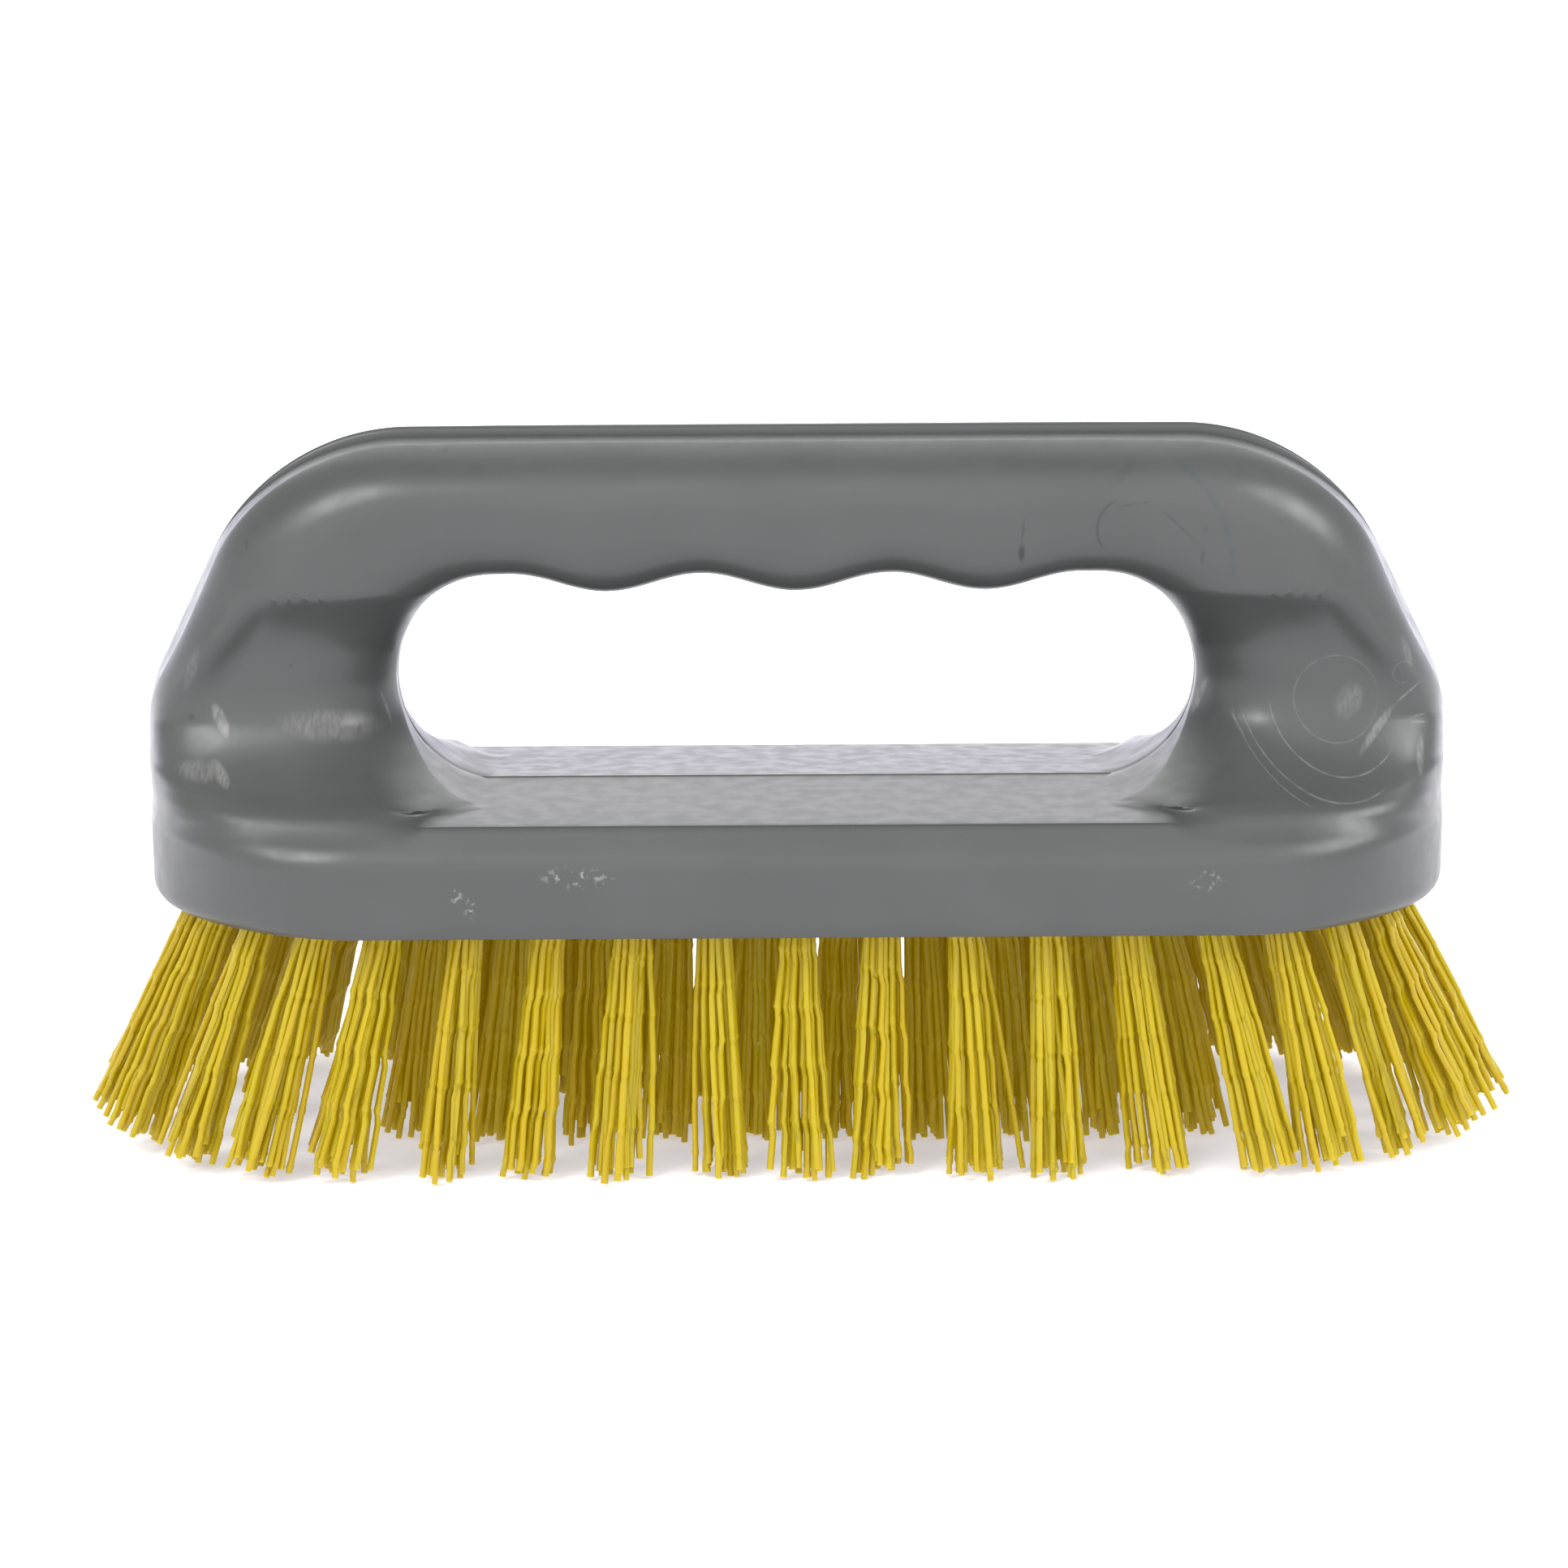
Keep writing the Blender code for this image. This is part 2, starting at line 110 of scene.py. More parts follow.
def mesh_object(name: str, bm: bmesh.types.BMesh, sharp_degrees: float = 30.0) -> bpy.types.Object:
    """Turn a bmesh into a smooth-shaded object of the scene.

    Args:
        name: Name of the piece.
        bm: Its faces, which are freed here.
        sharp_degrees: Edges that turn more than this stay sharp.

    Returns:
        The new object.
    """
    bmesh.ops.recalc_face_normals(bm, faces=bm.faces[:])
    mesh = bpy.data.meshes.new(name)
    bm.to_mesh(mesh)
    bm.free()
    smooth(mesh, sharp_degrees)
    return into_scene(name, mesh)


def skin(bm: bmesh.types.BMesh, sections: list[list[Point]]) -> None:
    """Skin sections that have equally many points, and close the two ends.

    Args:
        bm: The mesh that takes the faces.
        sections: The sections, in order.
    """
    rings = [[bm.verts.new(point) for point in section] for section in sections]
    count = len(rings[0])
    for near, far in zip(rings, rings[1:]):
        for i in range(count):
            j = (i + 1) % count
            bm.faces.new((near[i], near[j], far[j], far[i]))
    bm.faces.new(rings[0])
    bm.faces.new(rings[-1])


class NodeSheet:
    """Short ways to fill a node tree."""

    def __init__(self, tree: bpy.types.NodeTree, shader: str) -> None:
        """Work on a tree whose shader node has that name."""
        self.tree = tree
        self.shader = tree.nodes[shader]

    def add(self, kind: str, inputs: dict | None = None, **settings: object) -> bpy.types.Node:
        """Add a node.

        Args:
            kind: The node's type name.
            inputs: Values or sockets for its inputs, by name or number.
            **settings: Its own properties.

        Returns:
            The node.
        """
        node = self.tree.nodes.new(kind)
        for name, value in settings.items():
            setattr(node, name, value)
        for key, value in (inputs or {}).items():
            self.feed(node.inputs[key], value)
        return node

    def feed(self, socket: bpy.types.NodeSocket, value: object) -> None:
        """Link a socket into an input, or set the input's own value.

        Args:
            socket: The input.
            value: A socket to link, or a plain value.
        """
        if isinstance(value, bpy.types.NodeSocket):
            self.tree.links.new(value, socket)
        else:
            socket.default_value = value

    def math(self, operation: str, first: object, second: object = 0.0) -> bpy.types.NodeSocket:
        """Do one sum on two values and return the result's socket."""
        return self.add("ShaderNodeMath", {0: first, 1: second}, operation=operation).outputs[0]

    def times(self, first: object, *others: object) -> bpy.types.NodeSocket:
        """The product of values.

        Args:
            first: A value or socket.
            *others: What it is multiplied by, one after the other.

        Returns:
            The product's socket.
        """
        for other in others:
            first = self.math("MULTIPLY", first, other)
        return first

    def vector(
        self, operation: str, first: object, second: object = (0.0, 0.0, 0.0), result: str = "Vector"
    ) -> bpy.types.NodeSocket:
        """Do one sum on two vectors and return the result's socket, Vector or Value."""
        return self.add("ShaderNodeVectorMath", {0: first, 1: second}, operation=operation).outputs[result]

    def dress(self, inputs: dict) -> None:
        """Link sockets into the shader's inputs, or set the inputs' own values, by name."""
        for name, value in inputs.items():
            self.feed(self.shader.inputs[name], value)

    def ramp(
        self, value: object, low: float, high: float, to_low: float = 0.0, to_high: float = 1.0
    ) -> bpy.types.NodeSocket:
        """Map a value from one range to another, smoothly and clamped."""
        inputs = {"Value": value, "From Min": low, "From Max": high, "To Min": to_low, "To Max": to_high}
        return self.add("ShaderNodeMapRange", inputs, interpolation_type="SMOOTHSTEP").outputs["Result"]

    def scaled(self, colour: object, level: object) -> bpy.types.NodeSocket:
        """A colour times a level."""
        return self.add("ShaderNodeVectorMath", {0: colour, "Scale": level}, operation="SCALE").outputs[0]


class RoomSheet(NodeSheet):
    """Node tree of the room's light, by the direction that it comes from."""

    def __init__(self, name: str) -> None:
        """Make the scene's world.

        Args:
            name: The world's name.
        """
        world = bpy.data.worlds.new(name)
        world.use_nodes = True
        bpy.context.scene.world = world
        super().__init__(world.node_tree, "Background")
        self.way = self.add("ShaderNodeTexCoord").outputs["Generated"]
        self.height = self.add("ShaderNodeSeparateXYZ", {0: self.way}).outputs["Z"]

    def toward(self, direction: Point, low: float, high: float) -> bpy.types.NodeSocket:
        """1 where the light comes from near a direction, fading out between two cosines."""
        return self.ramp(self.vector("DOT_PRODUCT", self.way, direction, "Value"), low, high)

    def steps(self, value: object, places: tuple, levels: tuple) -> bpy.types.NodeSocket:
        """Follow a run of levels, easing from each to the next.

        Args:
            value: What the levels go by.
            places: Values at which the levels are reached.
            levels: As many levels.

        Returns:
            The level at the value.
        """
        total = levels[0]
        for (low, high), (first, last) in zip(zip(places, places[1:]), zip(levels, levels[1:])):
            total = self.math("ADD", total, self.ramp(value, low, high, 0.0, last - first))
        return total


class FinishSheet(NodeSheet):
    """Node tree of a surface's finish, with masks for marks on the front half."""

    FRONT_FULL_Y = -0.003
    FRONT_FADE_Y = -0.001

    def __init__(self, name: str) -> None:
        """Make a material of that name with a Principled shader.

        Args:
            name: The material's name.
        """
        self.material = bpy.data.materials.new(name)
        self.material.use_nodes = True
        super().__init__(self.material.node_tree, "Principled BSDF")
        self.place = self.add("ShaderNodeTexCoord").outputs["Object"]
        self.depth = self.add("ShaderNodeSeparateXYZ", {0: self.place}).outputs["Y"]
        self.front = self.ramp(self.depth, self.FRONT_FULL_Y, self.FRONT_FADE_Y, 1.0, 0.0)

    def turned(self, x: float, z: float, tilt: float) -> tuple[bpy.types.NodeSocket, bpy.types.NodeSocket]:
        """Distances from a point of the front view.

        Args:
            x: The point's place along the brush.
            z: The point's height.
            tilt: Slope of the first direction in degrees.

        Returns:
            The distance along that direction and the one square to it.
        """
        offset = self.vector("SUBTRACT", self.place, (x, 0.0, z))
        sockets = []
        for angle in (math.radians(tilt), math.radians(tilt + 90)):
            way = (math.cos(angle), 0.0, math.sin(angle))
            sockets.append(self.vector("DOT_PRODUCT", offset, way, "Value"))
        return sockets[0], sockets[1]

    def noise(self, scale: float, detail: float) -> bpy.types.NodeSocket:
        """Noise from 0 to 1 with so many blobs a metre and so many octaves of finer noise."""
        inputs = {"Vector": self.place, "Scale": scale, "Detail": detail}
        return self.add("ShaderNodeTexNoise", inputs).outputs["Fac"]

    def streaks(self, stretch: Point, detail: float) -> bpy.types.NodeSocket:
        """Drawn-out noise from 0 to 1 with so many blobs a metre along X, Y and Z."""
        inputs = {"Vector": self.vector("MULTIPLY", self.place, stretch), "Scale": 1.0, "Detail": detail}
        return self.add("ShaderNodeTexNoise", inputs).outputs["Fac"]

    def patch(self, centre: Point, reach: Point, core: float) -> bpy.types.NodeSocket:
        """A soft-edged ellipsoid patch.

        Args:
            centre: Its middle.
            reach: Its half sizes along X, Y and Z.
            core: Share of the reach that is fully inside.

        Returns:
            1 inside, fading to 0 at the reach.
        """
        scaled = self.vector("DIVIDE", self.vector("SUBTRACT", self.place, centre), reach)
        return self.ramp(self.vector("LENGTH", scaled, result="Value"), core, 1.0, 1.0, 0.0)

    def line(self, value: object, level: float, width: float) -> bpy.types.NodeSocket:
        """1 on a thin line where a value crosses a level, fading to 0 at the width."""
        away = self.math("ABSOLUTE", self.math("SUBTRACT", value, level))
        return self.ramp(away, 0.0, width, 1.0, 0.0)

    def blend(self, share: object, first: object, second: object) -> bpy.types.NodeSocket:
        """Mix two colours.

        Args:
            share: How much of the second colour, from 0 to 1.
            first: The first colour or its socket.
            second: The second colour or its socket.

        Returns:
            The mixed colour.
        """
        node = self.add("ShaderNodeMix", data_type="RGBA")
        for name, value in (("Factor", share), ("A", first), ("B", second)):
            self.feed(node.inputs[name], (*value, 1.0) if isinstance(value, tuple) else value)
        return node.outputs["Result"]

    def bump(self, height: object, depth: float) -> None:
        """Bend the shader's normal by a height from 0 to 1 that stands for so many metres."""
        inputs = {"Height": height, "Strength": 1.0, "Distance": depth}
        self.dress({"Normal": self.add("ShaderNodeBump", inputs).outputs["Normal"]})


@dataclass(frozen=True)
class Stroke:
    """A short straight mark on the front, by its middle, half sizes, tilt in degrees and strength."""

    x: float
    z: float
    half_length: float
    half_width: float
    tilt: float
    strength: float
    core: float = 0.05

    def share(self, sheet: FinishSheet) -> bpy.types.NodeSocket:
        """Its strength on the mark, fading to 0 round it.

        Args:
            sheet: Nodes of the finish that it is on.

        Returns:
            The strength's socket.
        """
        along, across = sheet.turned(self.x, self.z, self.tilt)
        far = sheet.math("POWER", sheet.math("DIVIDE", along, self.half_length), 2.0)
        wide = sheet.math("POWER", sheet.math("DIVIDE", across, self.half_width), 2.0)
        return sheet.ramp(sheet.math("ADD", far, wide), self.core, 1.0, self.strength, 0.0)


@dataclass(frozen=True)
class Arc:
    """A thin curved mark on the front, by its centre, radius, angles in degrees, half width and strength."""

    x: float
    z: float
    radius: float
    first: float
    last: float
    half_width: float = 0.00014
    strength: float = 0.35
    full_share: float = 0.75

    def share(self, sheet: FinishSheet) -> bpy.types.NodeSocket:
        """Its strength on the mark, fading to 0 round it.

        Args:
            sheet: Nodes of the finish that it is on.

        Returns:
            The strength's socket.
        """
        along, across = sheet.turned(self.x, self.z, (self.first + self.last) / 2)
        squares = sheet.math("ADD", sheet.math("POWER", along, 2.0), sheet.math("POWER", across, 2.0))
        ring = sheet.line(sheet.math("SQRT", squares), self.radius, self.half_width)
        angle = sheet.math("ABSOLUTE", sheet.math("ARCTAN2", across, along))
        half = math.radians(self.last - self.first) / 2
        return sheet.times(ring, sheet.ramp(angle, self.full_share * half, half, self.strength, 0.0))


@dataclass(frozen=True)
class SatinPlastic:
    """Moulded grey polypropylene: satin, with flow marks, tool lines, cutter marks, scuffs, specks and
    painted highlights.
    """

    tone: Point = (0.0672, 0.0704, 0.0682)
    pale_tone: Point = (0.30, 0.30, 0.285)
    dark_tone: Point = (0.026, 0.029, 0.031)
    teal_tone: Point = (0.026, 0.060, 0.066)
    roughness: float = 0.32
    # Painted highlights: pale strokes painted where the legs' curves and edges catch the lamps.
    painted_highlights: tuple = (
        Stroke(-0.0674, 0.0516, 0.0025, 0.0009, -63, 0.55),
        Stroke(-0.0669, 0.0462, 0.0021, 0.0008, -45, 0.55),
        Stroke(-0.0696, 0.0463, 0.0034, 0.0013, -3, 0.28),
        Stroke(-0.0548, 0.0509, 0.0068, 0.0021, -4, 0.26),
        Stroke(-0.0476, 0.0533, 0.0019, 0.0004, -80, 0.5),
        Stroke(-0.0486, 0.0520, 0.0028, 0.0002, -72, 0.3),
        Stroke(-0.0706, 0.0577, 0.0034, 0.0008, 70, 0.16),
        Stroke(0.0646, 0.0532, 0.0026, 0.0019, 60, 0.24),
        Stroke(0.0678, 0.0500, 0.0041, 0.0006, 48, 0.42),
        Stroke(0.0729, 0.0470, 0.0025, 0.0006, 80, 0.4),
        Stroke(0.0479, 0.0527, 0.0028, 0.0005, 70, 0.5),
        Stroke(0.0456, 0.0490, 0.0018, 0.0002, 85, 0.35),
        Stroke(0.0713, 0.0589, 0.0024, 0.0006, -70, 0.3),
        Stroke(0.0718, 0.0540, 0.0024, 0.0002, 40, 0.4),
        Stroke(0.0730, 0.0511, 0.0014, 0.0002, 5, 0.35),
        Stroke(0.0730, 0.0504, 0.0012, 0.0002, -5, 0.3),
        Stroke(0.0518, 0.0502, 0.0022, 0.0002, -65, 0.3),
    )
    cutter_marks: tuple = (
        Arc(0.0631, 0.0535, 0.00495, 0, 360, 0.00016, 0.16),
        Arc(0.0636, 0.0535, 0.0082, 178, 320),
        Arc(0.0631, 0.0540, 0.0109, 188, 300),
        Arc(0.0631, 0.0540, 0.0119, 186, 250, 0.00012, 0.25),
        Arc(0.0710, 0.0564, 0.0013, 20, 300, 0.00013, 0.3),
    )
    swirls: tuple = (
        Stroke(0.0259, 0.0711, 0.0013, 0.0005, 88, 1.0),
        Stroke(0.0260, 0.0733, 0.0023, 0.0002, 84, 0.6),
        Stroke(0.0467, 0.0706, 0.0010, 0.0003, 85, 0.7),
        Stroke(0.0469, 0.0736, 0.0007, 0.0003, 70, 0.4),
        Stroke(0.0388, 0.0767, 0.0027, 0.0002, 8, 0.45),
        Stroke(0.0440, 0.0741, 0.0035, 0.0002, -43, 0.4),
        Stroke(0.0375, 0.0800, 0.0028, 0.0007, 40, 0.2),
        Stroke(-0.0405, 0.0827, 0.0004, 0.0003, 0, 0.5),
        Stroke(-0.0590, 0.0579, 0.0003, 0.0003, 0, 0.7),
        Stroke(-0.0635, 0.0722, 0.0007, 0.0002, 80, 0.6),
        Stroke(-0.0710, 0.0519, 0.0006, 0.0005, 0, 0.5),
        Stroke(-0.0234, 0.0839, 0.0005, 0.0002, 10, 0.6),
        Arc(0.0383, 0.0738, 0.00375, 105, 222, 0.0003, 0.65),
    )
    teal_marks: tuple = (
        Arc(0.0345, 0.0686, 0.01575, -5, 56, 0.0005, 0.4),
        Stroke(0.0522, 0.0661, 0.0020, 0.0003, -28, 0.4),
    )
    scuffs: tuple = (
        (-0.0385, 0.0349, 0.0010),
        (-0.0249, 0.0367, 0.0056),
        (-0.0369, 0.0332, 0.0010),
        (0.0460, 0.0359, 0.0024),
    )
    scuff_y: float = -0.0278
    scuff_depth: float = 0.004
    scuff_half_height: float = 0.0017
    scuff_strength: float = 0.75
    scuff_roughness: float = 0.2
    brush_stretch: Point = (2200.0, 400.0, 700.0)
    fine_line_stretch: Point = (2600.0, 500.0, 90.0)
    coarse_line_stretch: Point = (700.0, 200.0, 30.0)
    relief: float = 0.000012
    refraction: float = 1.49

    def material(self) -> bpy.types.Material:
        """Build the material.

        Returns:
            The material.
        """
        sheet = FinishSheet("grey_satin_plastic")
        shade = sheet.ramp(sheet.noise(70.0, 4.0), 0.25, 0.75, 0.95, 1.05)
        ragged = sheet.ramp(sheet.noise(800.0, 3.0), 0.35, 0.62, 0.35, 1.0)
        tinted = sheet.scaled(self.tone, shade)
        tinted = sheet.blend(self._total(sheet, self.teal_marks, ragged), tinted, self.teal_tone)
        tinted = sheet.blend(self._total(sheet, self.swirls, ragged), tinted, self.dark_tone)
        tinted = self._specks(sheet, tinted)
        # Painted highlights: the pale strokes, broken up by streaky noise, go into the colour.
        highlight_streaks = sheet.ramp(sheet.streaks(self.brush_stretch, 2.0), 0.3, 0.7, 0.3, 1.0)
        pale = self._total(sheet, self.painted_highlights, highlight_streaks)
        marks = self._total(sheet, self.cutter_marks, ragged)
        scuffed = self._scuffed(sheet)
        # From here the pale share holds the painted highlights as well as the real cutter marks and scuffs.
        pale = sheet.math("MAXIMUM", sheet.math("MAXIMUM", pale, marks), scuffed)
        rough = sheet.math("ADD", sheet.ramp(sheet.noise(400.0, 2.0), 0.3, 0.7, -0.03, 0.04), self.roughness)
        rough = sheet.math("ADD", rough, sheet.times(scuffed, self.scuff_roughness))
        height = sheet.math("ADD", self._tool_lines(sheet), sheet.times(marks, -3.0))
        height = sheet.math("ADD", height, sheet.times(sheet.noise(260.0, 3.0), 0.06))
        sheet.bump(height, self.relief)
        colour = sheet.blend(pale, tinted, self.pale_tone)
        sheet.dress({"Base Color": colour, "Roughness": rough, "IOR": self.refraction})
        return sheet.material

    def _total(self, sheet: FinishSheet, marks: tuple, grain: object) -> bpy.types.NodeSocket:
        """Share of a group of marks on the front.

        Args:
            sheet: The plastic's nodes.
            marks: Strokes and arcs.
            grain: What breaks them up.

        Returns:
            0 beside the marks and up to 1 on them.
        """
        total = 0.0
        for mark in marks:
            total = sheet.math("MAXIMUM", mark.share(sheet), total)
        return sheet.times(total, grain, sheet.front)

    def _specks(self, sheet: FinishSheet, colour: object) -> bpy.types.NodeSocket:
        """Small dark specks of foreign material, scattered all over.

        Args:
            sheet: The plastic's nodes.
            colour: The colour without them.

        Returns:
            The colour with them.
        """
        cells = sheet.add("ShaderNodeTexVoronoi", {"Vector": sheet.place, "Scale": 90.0})
        near = sheet.ramp(cells.outputs["Distance"], 0.02, 0.06, 1.0, 0.0)
        chosen = sheet.add("ShaderNodeSeparateColor", {0: cells.outputs["Color"]}).outputs[0]
        share = sheet.times(near, sheet.ramp(chosen, 0.86, 0.9), 0.6)
        return sheet.blend(share, colour, self.dark_tone)

    def _scuffed(self, sheet: FinishSheet) -> bpy.types.NodeSocket:
        """Pale rubbed places on the base's front.

        Args:
            sheet: The plastic's nodes.

        Returns:
            0 beside them and up to their strength on them.
        """
        grain = sheet.ramp(sheet.noise(1300.0, 4.0), 0.53, 0.64)
        total = 0.0
        for x, z, reach in self.scuffs:
            half_sizes = (reach, self.scuff_depth, self.scuff_half_height)
            total = sheet.math("ADD", total, sheet.patch((x, self.scuff_y, z), half_sizes, 0.1))
        return sheet.times(total, grain, self.scuff_strength)

    def _tool_lines(self, sheet: FinishSheet) -> bpy.types.NodeSocket:
        """Fine upright lines left in the mould by its milling.

        Args:
            sheet: The plastic's nodes.

        Returns:
            Their height, in shares of the relief.
        """
        fine = sheet.streaks(self.fine_line_stretch, 2.0)
        coarse = sheet.streaks(self.coarse_line_stretch, 1.0)
        return sheet.math("ADD", sheet.times(fine, 0.8), sheet.times(coarse, 0.5))


@dataclass(frozen=True)
class CrimpedFilament:
    """Drawn yellow filament: glossy, slightly translucent, a little different from one to the next.

    A faint painted glow of their own lifts the shade between the filaments; it stands for light that they
    pipe there.
    """

    tone: Point = (0.385, 0.315, 0.005)
    deep_tone: Point = (0.385, 0.27, 0.002)
    # Painted glow: the filaments' own faint yellow light, which lifts the shade inside the bunch.
    painted_glow: Point = (0.065, 0.041, 0.0)
    roughness: float = 0.34
    roughness_below: float = 0.06
    roughness_above: float = 0.08
    translucency: float = 0.45
    light_reach: Point = (1.0, 0.8, 0.1)
    light_scale: float = 0.002
    gloss: float = 0.4
    own_share: float = 0.6
    grain_stretch: Point = (2500.0, 2500.0, 250.0)
    relief: float = 0.00001

    def material(self) -> bpy.types.Material:
        """Build the material.

        Returns:
            The material.
        """
        sheet = FinishSheet("yellow_crimped_filament")
        one = sheet.add("ShaderNodeNewGeometry").outputs["Random Per Island"]
        along = sheet.noise(120.0, 2.0)
        share = sheet.math("ADD", sheet.times(one, self.own_share), sheet.times(along, 1 - self.own_share))
        low, high = self.roughness - self.roughness_below, self.roughness + self.roughness_above
        sheet.bump(sheet.streaks(self.grain_stretch, 2.0), self.relief)
        inputs = {
            "Base Color": sheet.blend(share, self.deep_tone, self.tone),
            "Roughness": sheet.ramp(sheet.noise(900.0, 2.0), 0.3, 0.7, low, high),
            "Subsurface Weight": self.translucency,
            "Subsurface Radius": self.light_reach,
            "Subsurface Scale": self.light_scale,
            # The painted glow goes in as emission.
            "Emission Color": (*self.painted_glow, 1.0),
            "Emission Strength": 1.0,
            "Specular IOR Level": self.gloss,
        }
        sheet.dress(inputs)
        return sheet.material


@dataclass(frozen=True)
class StudioPaper:
    """Pale matte paper of the studio floor, lit from below round the brush as on a light table."""

    tone: Point = (0.80, 0.80, 0.805)
    lit_tint: Point = (0.96, 0.95, 1.06)
    lit_level: float = 1.5
    near_share: float = 0.27
    lit_from: float = 0.12
    lit_to: float = 0.34
    front_slope: float = -0.45
    back_slope: float = 0.1
    fibre_share: float = 0.985
    roughness: float = 0.9
    gloss: float = 0.1

    def material(self) -> bpy.types.Material:
        """Build the material.

        Returns:
            The material.
        """
        sheet = FinishSheet("pale_studio_paper")
        fibres = sheet.ramp(sheet.noise(300.0, 4.0), 0.3, 0.7)
        darker = tuple(self.fibre_share * part for part in self.tone)
        away = sheet.vector("LENGTH", sheet.place, result="Value")
        slope = sheet.math("DIVIDE", sheet.depth, sheet.math("ADD", away, 0.001))
        behind = sheet.ramp(slope, self.front_slope, self.back_slope)
        far = sheet.ramp(away, self.lit_from, self.lit_to)
        share = sheet.math("MAXIMUM", sheet.times(far, behind), self.near_share)
        inputs = {
            "Base Color": sheet.blend(fibres, darker, self.tone),
            "Emission Color": sheet.scaled(self.lit_tint, share),
            "Emission Strength": self.lit_level,
            "Roughness": self.roughness,
            "Specular IOR Level": self.gloss,
        }
        sheet.dress(inputs)
        return sheet.material


@dataclass
class BaseBlock:
    """The block under the handle: a round-ended plan, a side that rolls over, and a top that drafts down."""

    length: float = 0.155
    depth: float = 0.0556
    thickness: float = 0.0133
    face_z: float = 0.0294
    edge_inset: float = 0.0031
    edge_fade_start_share: float = 0.74
    edge_fade_run: float = 0.016
    draft: float = math.tan(math.radians(1.95))
    lower_radius: float = 0.0006
    lower_end_radius: float = 0.0027
    lower_blend_run: float = 0.022
    roll_start_share: float = 0.60
    roll_blend: float = 0.24
    roll_end_share: float = 0.985
    fillet: float = 0.00045
    last_roll_row: tuple = (0.9925, 0.2)
    fillet_rows: tuple = ((0.9985, 0.55), (1.0, 1.0))
    straight_steps: int = 130
    arc_steps: int = 96
    lower_steps: int = 6
    side_steps: int = 11
    top_steps: int = 44
    top_ring_power: float = 0.9
    least_ring_scale: float = 0.0004
    seam_bead: float = 0.00012
    seam_bead_width: float = 0.00022

    @property
    def half_depth(self) -> float:
        """Half the block's depth."""
        return self.depth / 2

    @property
    def end_centre(self) -> float:
        """X of the middle of the round ends."""
        return self.length / 2 - self.half_depth

    @property
    def crown_z(self) -> float:
        """Height of the block's top on the parting line."""
        return self.face_z + self.thickness

    def plan_depth(self, x: float, inset: float = 0.0) -> float:
        """Half the depth of the plan at x, drawn in by an inset."""
        beyond = max(abs(x) - self.end_centre, 0.0)
        return math.sqrt(max((self.half_depth - inset) ** 2 - beyond**2, 0.0))

    def edge_inset_at(self, x: float) -> float:
        """How far the side draws in at its top edge; this fades out where the feet take over at the ends."""
        fade = ease((abs(x) - self.edge_fade_start_share * self.length / 2) / self.edge_fade_run)
        return self.edge_inset * (1 - fade)

    def lower_radius_at(self, x: float) -> float:
        """Radius of the side's lower edge, larger round the ends."""
        blend = ease((abs(x) - self.end_centre) / self.lower_blend_run)
        return self.lower_radius + (self.lower_end_radius - self.lower_radius) * blend

    def roll(self, share: float) -> float:
        """Form of the roll from the side to the top edge: a short bend, then a straight slope.

        Args:
            share: Share of the side's height.

        Returns:
            Share of the edge inset.
        """
        turn = min(max((share - self.roll_start_share) / self.roll_blend, 0.0), 1.0)
        straight = max(share - self.roll_start_share - self.roll_blend, 0.0)
        whole = 1 - self.roll_start_share - self.roll_blend / 2
        return (self.roll_blend * (turn**3 - turn**4 / 2) + straight) / whole

    def profile(self) -> list[tuple[float, float, float, float]]:
        """The side from the bristle face up.

        Returns:
            Each ring's share of the height, of the edge inset and of the lower radius, and its further inset.
        """
        rows = []
        for i in range(self.lower_steps + 1):
            turn = math.pi / 2 * i / self.lower_steps
            share = self.lower_end_radius * (1 - math.cos(turn)) / self.thickness
            rows.append((share, 0.0, 1 - math.sin(turn), 0.0))
        rows.append(((self.lower_end_radius / self.thickness + self.roll_start_share) / 2, 0.0, 0.0, 0.0))
        run = self.roll_end_share - self.roll_start_share
        for i in range(self.side_steps):
            share = self.roll_start_share + run * i / (self.side_steps - 1)
            rows.append((share, self.roll(share), 0.0, 0.0))
        share, rounding = self.last_roll_row
        rows.append((share, self.roll(share), 0.0, rounding * self.fillet))
        return rows + [(share, 1.0, 0.0, rounding * self.fillet) for share, rounding in self.fillet_rows]

    def ring_radius(self, x: float, shares: tuple[float, float, float], scale: float) -> float:
        """Half the depth of a ring beside x, drawn in by its row of the profile and scaled.

        Args:
            x: Distance from the middle of the brush.
            shares: Share of the top edge's inset and of the lower edge's radius, and further inset.
            scale: Scale of the ring about the block's spine.

        Returns:
            The depth from the spine.
        """
        share, lower, inset = shares
        drawn_in = share * self.edge_inset_at(x) + lower * self.lower_radius_at(x) + inset
        return (self.half_depth - drawn_in) * scale

    def outline(self, shares: tuple[float, float, float], scale: float = 1.0) -> list[tuple[float, float]]:
        """Points round the plan, drawn in; each ring has as many points.

        Args:
            shares: Share of the top edge's inset and of the lower edge's radius, and further inset.
            scale: Scale of the ring about the block's spine.

        Returns:
            The ring's points.
        """
        points = []
        for side in (1, -1):
            for i in range(self.arc_steps):
                angle = math.pi * (i / self.arc_steps - 0.5)
                radius = self.ring_radius(self.end_centre + self.half_depth * math.cos(angle), shares, scale)
                x = self.end_centre + radius * math.cos(angle)
                points.append((side * x, side * radius * math.sin(angle)))
            for i in range(self.straight_steps):
                x = self.end_centre * (1 - 2 * i / self.straight_steps)
                points.append((side * x, side * self.ring_radius(x, shares, scale)))
        return points

    def top(self, y: float) -> float:
        """Height of the top at y, with the thin bead that the parting line leaves."""
        bead = self.seam_bead * math.exp(-((y / self.seam_bead_width) ** 2))
        return self.crown_z - self.draft * abs(y) + bead

    def side_z(self, share: float, y: float) -> float:
        """Height of the side at a share of it, under a top that falls with y."""
        return self.face_z + share * (self.thickness - self.draft * abs(y))

